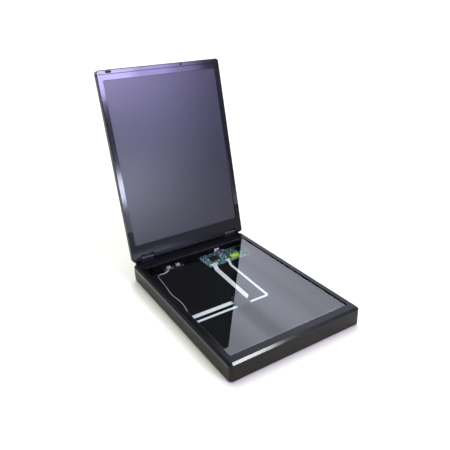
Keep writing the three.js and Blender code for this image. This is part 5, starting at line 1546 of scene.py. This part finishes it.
@dataclass
class CircuitBoards:
    """The main board with its parts, sockets and port; places on the board are in millimetres from its corner."""

    chips: tuple[str, ...] = ("controller_chip", "memory_chip")
    sockets: tuple[str, ...] = ("ffc_wide_socket", "ffc_narrow_socket")
    contacts: tuple[int, ...] = (12, 6)
    contact_margin: float = 1.8 * MM
    contact_inset: Span = (0.2 * MM, 0.1 * MM)
    contact_width: float = 0.4
    contact_steps: tuple[Span, ...] = ((1.2, 0.25), (0.3, 0.9))
    edge: float = 0.12 * MM
    coil_edge: float = 0.3 * MM
    coil_share: float = 0.72
    port_edge: float = 0.1 * MM
    legs: tuple[ChipLegs, ...] = (
        ChipLegs("controller_chip", 0.8 * MM, 0.34 * MM, (0, 1)),
        ChipLegs("memory_chip", 1.27 * MM, 0.45 * MM, (0,)),
    )
    leg_profile: tuple[Span, ...] = ((-0.3, 0.85), (0.35, 0.85), (0.62, 0.12), (1.15, 0.1))
    leg_margin: float = 1.6 * MM
    leg_thickness: float = 0.13 * MM
    cans: tuple[Span, ...] = ((60.0, 30.0), (69.0, 34.0))
    can_radii: Span = (2.6, 2.25)
    can_heights: Triple = (0.7, 3.9, 4.3)
    can_base: float = 2.9
    can_sides: int = 32
    crystal: Span = (40.0, 30.0)
    regulator: Span = (84.0, 8.0)
    strewn: tuple[StrewnParts, ...] = (
        StrewnParts("board_capacitors", 4, 4.6 * MM, (2.2 * MM, 1.4 * MM, 1.0 * MM), Finish.CERAMIC),
        StrewnParts("board_resistors", 9, 5.2 * MM, (1.7 * MM, 0.9 * MM, 0.5 * MM), Finish.RESISTOR),
        StrewnParts("board_jumpers", 21, 9.0 * MM, (3.0 * MM, 1.8 * MM, 1.5 * MM), Finish.SOCKET),
    )
    clearance: float = 1.3 * MM
    cell: float = 1.5 * MM
    kept_clear: tuple[tuple[float, ...], ...] = (
        (56, 26, 73, 38),
        (39, 29, 52, 36),
        (83, 5, 92, 18),
        (0, 0, 9, 9),
        (97, 0, 106, 9),
    )

    def build(self) -> None:
        """Paints the board and adds its parts, with their legs and contacts."""
        paint("main_board", Finish.BOARD)
        for node in (*self.sockets, *self.chips):
            dressed(node, Finish.SOCKET if node in self.sockets else Finish.DARK, self.edge)
        self._shorten(dressed("taped_coil", Finish.TAPE, self.coil_edge), self.coil_share)
        dressed("usb_port", Finish.BRIGHT_STEEL, self.port_edge)
        rows, scatter = row_copies(), chip_scatter()
        tinned = Finish.TINNED.material
        for legs in self.legs:
            self._legs(rows, legs)
        for node, count in zip(self.sockets, self.contacts):
            self._contacts(rows, node, count)
        self._cans()
        self._crystal()
        self._regulator()
        places = self._open_places()
        for kind in self.strewn:
            sizes = {"Seed": kind.seed, "Spacing": kind.spacing, "Size": kind.size}
            made = scatter.run(places.copy(), **sizes, Body=kind.finish.material, Ends=tinned)
            add_piece(kind.name, made, "base", ())

    @staticmethod
    def _on_board(place: Sequence[float]) -> Vector:
        """A place on the board's top."""
        low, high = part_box("main_board")
        return Vector((low.x + place[0] * MM, low.y + place[1] * MM, high.z))

    @staticmethod
    def _shorten(coil: bpy.types.Object, share: float) -> None:
        """Keeps a share of the coil's length, from its left end.

        Args:
            coil: The coil's piece.
            share: The share.
        """
        left = min(vertex.co.x for vertex in coil.data.vertices)
        for vertex in coil.data.vertices:
            vertex.co.x = left + (vertex.co.x - left) * share

    def _legs(self, rows: Copies, legs: ChipLegs) -> None:
        """Adds a chip's bent legs along its sides.

        Args:
            rows: The tree that repeats a leg.
            legs: The legs' sizes.
        """
        low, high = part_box(legs.node)
        for axis in legs.axes:
            along = 1 - axis
            length = high[along] - low[along]
            count = int((length - self.leg_margin) / legs.pitch)
            margin = (length - (count - 1) * legs.pitch) / 2
            half = Vector((0.0, 0.0, 0.0))
            half[along] = legs.width / 2
            pair = Solid(f"{legs.node}_legs_{'xy'[axis]}")
            for edge, way in ((low[axis], -1.0), (high[axis], 1.0)):
                leg = []
                for out, up in self.leg_profile:
                    middle = Vector((0.0, 0.0, low.z + up * MM))
                    middle[axis], middle[along] = edge + way * out * MM, low[along] + margin
                    leg.append((middle - half, middle + half))
                pair.strip(leg, self.leg_thickness)
            step = [0.0, 0.0, 0.0]
            step[along] = legs.pitch
            made = rows.run(pair.mesh(), Count=count, Step=step, Finish=Finish.TINNED.material)
            add_piece(pair.name, made, "base", ())

    def _contacts(self, rows: Copies, node: str, count: int) -> None:
        """Adds the soldered contacts behind a cable socket.

        Args:
            rows: The tree that repeats a contact.
            node: The socket.
            count: How many contacts it has.
        """
        low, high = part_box(node)
        pitch = (high.x - low.x - 2 * self.contact_margin) / (count - 1)
        beside, within = self.contact_inset
        corner = Vector((low.x + self.contact_margin - beside, high.y - within, low.z))
        pin = Solid(node + "_contacts")
        for deep, tall in self.contact_steps:
            pin.part(corner, (0.0, 0.0, 0.0), (self.contact_width, deep, tall))
        made = rows.run(pin.mesh(), Count=count, Step=(pitch, 0.0, 0.0), Finish=Finish.TINNED.material)
        add_piece(pin.name, made, "base", ())

    def _cans(self) -> None:
        """Adds two can capacitors on dark bases."""
        cans = Solid("board_cans")
        reach, base = self.can_base, self.can_heights[0]
        side, crown = (radius * MM for radius in self.can_radii)
        for place in self.cans:
            foot = self._on_board(place)
            rise = [foot + Vector((0.0, 0.0, z)) * MM for z in self.can_heights]
            cans.part(foot, (-reach, -reach, 0.0), (reach, reach, base), 1, 0.2)
            cans.drum(rise[0], rise[1], side, self.can_sides)
            cans.drum(rise[1], rise[2], side, self.can_sides, 0, crown)
        add_piece(cans.name, cans.mesh(), "base", (Finish.SEALED, Finish.RESISTOR))

    def _crystal(self) -> None:
        """Adds a crystal in its flat can."""
        corner = self._on_board(self.crystal)
        crystal = Solid("board_crystal")
        crystal.part(corner, (0.0, 0.0, 0.0), (11.0, 4.6, 0.5), 1, 0.1)
        crystal.part(corner, (0.4, 0.4, 0.5), (10.6, 4.2, 3.4), 0, 0.9)
        add_piece(crystal.name, crystal.mesh(), "base", (Finish.SEALED, Finish.TINNED))

    def _regulator(self) -> None:
        """Adds a small regulator with its tab and three legs."""
        corner = self._on_board(self.regulator)
        regulator = Solid("board_regulator")
        regulator.part(corner, (0.0, 0.0, 0.0), (6.6, 6.0, 2.2), 1, 0.2)
        regulator.part(corner, (0.4, 5.8, 0.0), (6.2, 9.0, 0.6), 0, 0.1)
        for k in range(3):
            left = 0.7 + 2.2 * k
            regulator.part(corner, (left, -2.2, 0.0), (left + 0.8, 0.2, 0.5), 0, 0.05)
        add_piece(regulator.name, regulator.mesh(), "base", (Finish.TINNED, Finish.DARK))

    def _open_places(self) -> bpy.types.Mesh:
        """Finds the cells of the board's top that no larger part covers.

        Returns:
            A mesh with one face for each open cell.
        """
        low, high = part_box("main_board")
        taken = [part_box(node) for node in (*self.chips, *self.sockets, "taped_coil", "usb_port")]
        corner = Vector((low.x, low.y, 0.0))
        for x0, y0, x1, y1 in self.kept_clear:
            taken.append((corner + Vector((x0, y0, 0)) * MM, corner + Vector((x1, y1, 0)) * MM))
        cell, clearance = self.cell, self.clearance
        verts, faces = [], []
        wide, deep = int((high.x - low.x) / cell) - 2, int((high.y - low.y) / cell) - 2
        for i in range(wide):
            for j in range(deep):
                x, y = low.x + (i + 1) * cell, low.y + (j + 1) * cell
                x_far, y_far = x + cell + clearance, y + cell + clearance
                x_near, y_near = x - clearance, y - clearance
                if any(a.x < x_far and x_near < b.x and a.y < y_far and y_near < b.y for a, b in taken):
                    continue
                first = len(verts)
                verts += [(x + u * cell, y + v * cell, high.z) for u, v in ((0, 0), (1, 0), (1, 1), (0, 1))]
                faces.append((first, first + 1, first + 2, first + 3))
        mesh = bpy.data.meshes.new("open_places")
        mesh.from_pydata(verts, [], faces)
        return mesh


@dataclass
class LampDriver:
    """The lamp driver board with its plugs, coil and small parts; the parts' places are in millimetres."""

    edge: float = 0.12 * MM
    pins: int = 3
    pin_pitch: float = 1.85 * MM
    pin_near: Triple = (1.9, -2.2, 2.1)
    pin_far: Triple = (2.4, -1.7, 3.7)
    pin_edge: float = 0.06
    sides: int = 40
    turns: int = 9
    turn_steps: int = 36
    wire_radius: float = 0.17 * MM
    flange: float = 0.8 * MM
    core_inset: float = 1.1 * MM
    wire_inset: float = 0.95 * MM
    parts: tuple[tuple[float, int], ...] = ((4.0, 1), (17.5, 1), (30.0, 0), (40.0, 1))
    parts_setback: float = 1.2 * MM

    def build(self) -> None:
        """Paints the board and makes its plugs, coil and small parts."""
        paint("lamp_driver_board", Finish.DRIVER_BOARD)
        rows = row_copies()
        for node in ("driver_plug_left", "driver_plug_right"):
            dressed(node, Finish.SOCKET, self.edge)
            self._pins(rows, node)
        self._coil()
        self._small_parts()

    def _pins(self, rows: Copies, node: str) -> None:
        """Adds a plug's row of pins.

        Args:
            rows: The tree that repeats a pin.
            node: The plug.
        """
        low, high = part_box(node)
        corner = Vector((low.x, high.y, low.z))
        pin = Solid(node + "_pins").part(corner, self.pin_near, self.pin_far, 0, self.pin_edge)
        made = rows.run(pin.mesh(), Count=self.pins, Step=(self.pin_pitch, 0.0, 0.0), Finish=Finish.TINNED.material)
        add_piece(pin.name, made, "base", ())

    def _coil(self) -> None:
        """Adds the drum core with its copper winding."""
        low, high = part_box("driver_coil")
        x, y = (low.x + high.x) / 2, (low.y + high.y) / 2
        radius, flange = (high.x - low.x) / 2, self.flange
        coil = Solid("driver_coil_piece")
        for z in (low.z, high.z - flange):
            coil.drum((x, y, z), (x, y, z + flange), radius, self.sides, 1)
        coil.drum((x, y, low.z), (x, y, high.z), radius - self.core_inset, self.sides, 1)
        winding = []
        start, rise = low.z + flange + self.wire_radius, high.z - low.z - 2 * flange - 2 * self.wire_radius
        steps = self.turn_steps * self.turns
        for k in range(steps + 1):
            angle = math.tau * k / self.turn_steps
            turn = Vector((math.cos(angle), math.sin(angle), 0.0)) * (radius - self.wire_inset)
            winding.append(Vector((x, y, start + rise * k / steps)) + turn)
        coil.wire(winding, self.wire_radius, 6)
        finishes = (Finish.WINDING, Finish.FERRITE)
        add_piece(coil.name, coil.mesh(), "base", finishes, ["driver_coil"])

    def _small_parts(self) -> None:
        """Adds a row of capped chips along the board's front edge."""
        low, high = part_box("lamp_driver_board")
        parts = Solid("driver_parts")
        for x, number in self.parts:
            corner = Vector((low.x + x * MM, low.y + self.parts_setback, high.z))
            parts.part(corner, (0.0, 0.0, 0.0), (2.6, 1.6, 1.3), number, 0.2)
            for left in (-0.5, 2.5):
                parts.part(corner, (left, 0.1, 0.0), (left + 0.6, 1.5, 1.0), 2, 0.05)
        finishes = (Finish.RESISTOR, Finish.CERAMIC, Finish.TINNED)
        add_piece(parts.name, parts.mesh(), "base", finishes)


@dataclass(frozen=True)
class FloorCable:
    """One flat cable from its socket to the anchor, in millimetres, with the heights of its three stretches."""

    node: str
    socket: Triple
    fold: Span
    width: float
    levels: Triple
    finish: Finish


@dataclass(frozen=True)
class Hump:
    """A rise of the tape over a cable: where it starts and ends in millimetres, and its height over the floor."""

    near: float
    far: float
    top: float


@dataclass
class Cables:
    """The flat cables, the tape, the lead, the ferrite core and the anchor."""

    floor_cables: tuple[FloorCable, ...] = (
        FloorCable("ffc_wide", (23.4, 116.3, 7.9), (17.6, -7.4), 9.0, (2.82, 3.03, 2.85), Finish.WIDE_FILM),
        FloorCable("ffc_narrow", (55.6, 116.3, 7.9), (50.0, -22.0), 5.2, (2.42, 2.63, 2.45), Finish.NARROW_FILM),
    )
    film: float = 0.2 * MM
    film_angle: float = 50.0
    setback: float = 1.9 * MM
    drop: float = 9.0 * MM
    drop_steps: int = 12
    lane_x: float = -102.9 * MM
    lane_end: float = 1.0 * MM
    loops: tuple[str, ...] = ("ffc_wide_loop", "ffc_narrow_loop")
    loop_gap: float = 0.3 * MM
    loop_inset: float = 0.09
    loop_margin: float = 0.15 * MM
    loop_ahead: float = 10.0 * MM
    bend_steps: int = 24
    bend_far: float = 10.0
    tape_start: float = -28.3
    tape_length: float = 27.6
    tape_steps: int = 60
    tape_sides: Span = (0.15 * MM, 5.9 * MM)
    tape_thickness: float = 0.1 * MM
    tape_slope: float = 1.1
    tape_waves: Span = (0.03 * MM, 2.3)
    humps: tuple[Hump, ...] = (Hump(-13.9, -1.0, 3.26 * MM), Hump(-25.3, -18.7, 2.86 * MM))
    wires: float = 0.32 * MM
    wire_spacing: float = 1.02
    twist: float = 7.0 * MM
    lead_spans: int = 24
    lead_start: Triple = (-55.0, 156.9, 7.53)
    lead_end: Triple = (-94.5, 0.5, 3.0)
    lead_exit: float = 2.3
    lead_shares: tuple[Triple, ...] = (
        (0.1266, 0.0377, 0.294),
        (0.3291, 0.0441, 0.846),
        (0.557, 0.0377, 1.0),
        (0.675, 0.047, 1.0),
        (0.733, 0.082, 1.0),
        (0.748, 0.15, 1.0),
        (0.8101, 0.3382, 1.0),
        (0.881, 0.5301, 1.0),
        (0.8253, 0.6963, 1.0),
        (0.8456, 0.8242, 1.0),
        (0.9418, 0.9393, 1.0),
    )
    sleeve_span: Span = (-76.5 * MM, -58.5 * MM)
    sleeve_front: float = 140 * MM
    sleeve_radius: float = 0.92 * MM
    ferrite_edge: float = 0.4 * MM
    anchor_edge: float = 0.3 * MM

    def build(self) -> None:
        """Makes every cable."""
        for cable in self.floor_cables:
            self._floor_cable(cable)
        for node in self.loops:
            self._loop(node)
        self._tape()
        self._lead()
        dressed("ferrite_core", Finish.FERRITE, self.ferrite_edge)
        dressed("cable_anchor", Finish.DARK, self.anchor_edge)

    def _floor_cable(self, cable: FloorCable) -> None:
        """Makes one cable: out of its socket, down to the floor, folded twice and along the lane to the anchor.

        Args:
            cable: The cable's route and sizes.
        """
        mouth = Vector(cable.socket) * MM
        first, second, third = (z * MM for z in cable.levels)
        fold = Vector((cable.fold[0] * MM, cable.fold[1] * MM, second))
        last_fold, end = Vector((self.lane_x, fold.y, third)), Vector((self.lane_x, self.lane_end, third))
        rows = folded_rows([Vector((mouth.x, mouth.y, first)), fold, last_fold, end], cable.width * MM)
        away = (fold - mouth).to_2d().normalized().to_3d()
        fall = []
        for k in range(self.drop_steps + 1):
            share = k / self.drop_steps
            lift = Vector((0.0, 0.0, (mouth.z - first) * (1 - eased(share))))
            along = away * (self.setback + self.drop * share)
            fall.append(tuple(edge + along + lift for edge in rows[0]))
        top = Vector((0.0, 0.0, mouth.z - first))
        rows = [tuple(edge + top for edge in rows[0]), *fall, *rows[1:]]
        strip = Solid(cable.node + "_piece").strip(rows, self.film)
        add_piece(strip.name, strip.mesh(self.film_angle), "base", [cable.finish], [cable.node])

    def _loop(self, node: str) -> None:
        """Makes the three stretches of a rolling loop between anchor and carriage, on no body.

        Each stretch is listed with a place for the base's motion and one for the carriage's; for the bend both lie far
        below and above it. Nothing here reads these places, so no stretch is made to move with the slide.

        Args:
            node: The CAD node that the stretches replace.
        """
        low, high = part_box(node)
        start, end = self.lane_end + self.loop_gap, low.y
        bend_y = self.lane_end + self.loop_ahead
        bottom, top = low.z + self.loop_margin, high.z - self.loop_margin
        middle, radius = (bottom + top) / 2, (top - bottom) / 2
        inset = self.loop_inset * (high.x - low.x)

        def row(y: float, z: float) -> Row:
            """The two edges at one place."""
            return Vector((low.x + inset, y, z)), Vector((high.x - inset, y, z))

        angles = [-math.pi / 2 + math.pi * k / self.bend_steps for k in range(self.bend_steps + 1)]
        bend = [row(bend_y + radius * math.cos(a), middle + radius * math.sin(a)) for a in angles]
        far = 2 * bend_y - end
        for part, rows, first, last in (
            ("lower", [row(start, bottom), row(bend_y, bottom)], (0, start, 0), (0, 2 * bend_y - start, 0)),
            ("bend", bend, (0, 0, middle - self.bend_far), (0, 0, middle + self.bend_far)),
            ("upper", [row(bend_y, top), row(end, top)], (0, far, 0), (0, end, 0)),
        ):
            stretch = Solid(f"{node}_{part}").strip(rows, self.film)
            mesh = stretch.mesh(self.film_angle)
            piece = add_piece(stretch.name, mesh, None, [Finish.DARK_FILM], [node])
            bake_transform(piece)

    def _tape(self) -> None:
        """Adds the black tape that holds both cables down beside the ferrite core."""
        low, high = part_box("ferrite_core")
        floor = low.z + self.tape_thickness
        left, right = (high.x + side for side in self.tape_sides)
        wave, rate = self.tape_waves
        rows = []
        for k in range(self.tape_steps + 1):
            y = self.tape_start + self.tape_length * k / self.tape_steps
            z = floor
            for hump in self.humps:
                rising = min(1.0, max(0.0, (y - hump.near) / self.tape_slope + 1.0))
                falling = min(1.0, max(0.0, (hump.far - y) / self.tape_slope + 1.0))
                z = max(z, floor + (hump.top - floor) * eased(rising * falling))
            z += wave * math.sin(rate * y)
            rows.append((Vector((left, y * MM, z)), Vector((right, y * MM, z))))
        tape = Solid("cable_tape").strip(rows, self.tape_thickness)
        add_piece(tape.name, tape.mesh(self.film_angle), "base", [Finish.TAPE_BLACK])

    def _lead(self) -> None:
        """Makes the lamp lead: two wires twisted together, with a white sleeve near the plug."""
        start, end = Vector(self.lead_start), Vector(self.lead_end)
        way = end - start
        points = [start, start - Vector((0.0, self.lead_exit, 0.0))]
        points += [start + Vector((a * way.x, b * way.y, c * way.z)) for a, b, c in self.lead_shares]
        route = smooth_route([point * MM for point in (*points, end)], self.lead_spans)
        lead = Solid("lamp_lead_piece")
        for half in (0.0, math.pi):
            run, strand = 0.0, []
            for i, (point, across, up) in enumerate(side_directions(route)):
                run += (point - route[max(i - 1, 0)]).length
                angle = half + math.tau * run / self.twist
                out = math.cos(angle) * across + math.sin(angle) * up
                strand.append(point + self.wires * self.wire_spacing * out)
            lead.wire(strand, self.wires, 8)
        add_piece(lead.name, lead.mesh(WIRE_ANGLE), "base", [Finish.SHEATH], ["lamp_lead"])
        left, right = self.sleeve_span
        covered = [point for point in route if left < point.x < right and point.y > self.sleeve_front]
        sleeve = Solid("lamp_lead_sleeve").wire(covered, self.sleeve_radius, 16)
        add_piece(sleeve.name, sleeve.mesh(WIRE_ANGLE), "base", [Finish.SLEEVE])


@dataclass
class Carriage:
    """The sensor carriage with its rod, bushes, springs and motor."""

    edge: float = 0.2 * MM
    pad_edge: float = 0.1 * MM
    rod_edge: float = 0.4 * MM
    turns: int = 5
    turn_steps: int = 32
    closed_turns: float = 0.9
    spring_wire: float = 0.36 * MM

    def build(self) -> None:
        """Makes smooth copies of the carriage's nodes and winds its springs."""
        dressed("carriage_frame", Finish.CARRIAGE, self.edge)
        dressed("sensor_bar", Finish.DARK, self.edge)
        paint("sensor_glass", Finish.SENSOR_GLASS)
        for node in ("rod_bush_front", "rod_bush_back"):
            dressed(node, Finish.GEAR)
        for node in ("slider_pad_left", "slider_pad_right"):
            dressed(node, Finish.CARRIAGE, self.pad_edge)
        for node in ("sensor_spring_left", "sensor_spring_right"):
            self._spring(node)
        dressed("stepper_motor", Finish.BRIGHT_STEEL, self.edge)
        dressed("guide_rod", Finish.BRIGHT_STEEL, self.rod_edge)

    def _spring(self, node: str) -> None:
        """Winds one spring in its node's place, with a closed turn at each end.

        Args:
            node: The CAD node that it replaces.
        """
        low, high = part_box(node)
        x, y = (low.x + high.x) / 2, (low.y + high.y) / 2
        radius = (high.x - low.x) / 2 - self.spring_wire
        bottom, rise = low.z + self.spring_wire, high.z - low.z - 2 * self.spring_wire
        whole = self.turns + 2
        path = []
        for k in range(self.turn_steps * whole + 1):
            turn = k / self.turn_steps
            share = min(1.0, max(0.0, (turn - self.closed_turns) / (whole - 2 * self.closed_turns)))
            angle = math.tau * turn
            path.append(Vector((x + radius * math.cos(angle), y + radius * math.sin(angle), bottom + rise * share)))
        spring = Solid(node + "_piece").wire(path, self.spring_wire, 8)
        add_piece(spring.name, spring.mesh(WIRE_ANGLE), "carriage", [Finish.BRIGHT_STEEL], [node])


@dataclass
class Drive:
    """The gear train."""

    gears: tuple[str, ...] = ("drive_gear", "idler_gear", "motor_pinion")
    tooth_angle: float = 25.0

    def build(self) -> None:
        """Makes smooth copies of the gears, with crisp teeth."""
        for node in self.gears:
            dressed(node, Finish.GEAR, angle=self.tooth_angle)


def main() -> None:
    """Builds the studio and every sub-assembly, in order."""
    Studio().build()
    for assembly in (
        Cables(),
        Housing(),
        GlassPlate(),
        Lid(),
        Hinges(),
        CircuitBoards(),
        LampDriver(),
        Carriage(),
        Drive(),
    ):
        assembly.build()
        log.info("finished %s", type(assembly).__name__)


if __name__ == "__main__":
    main()
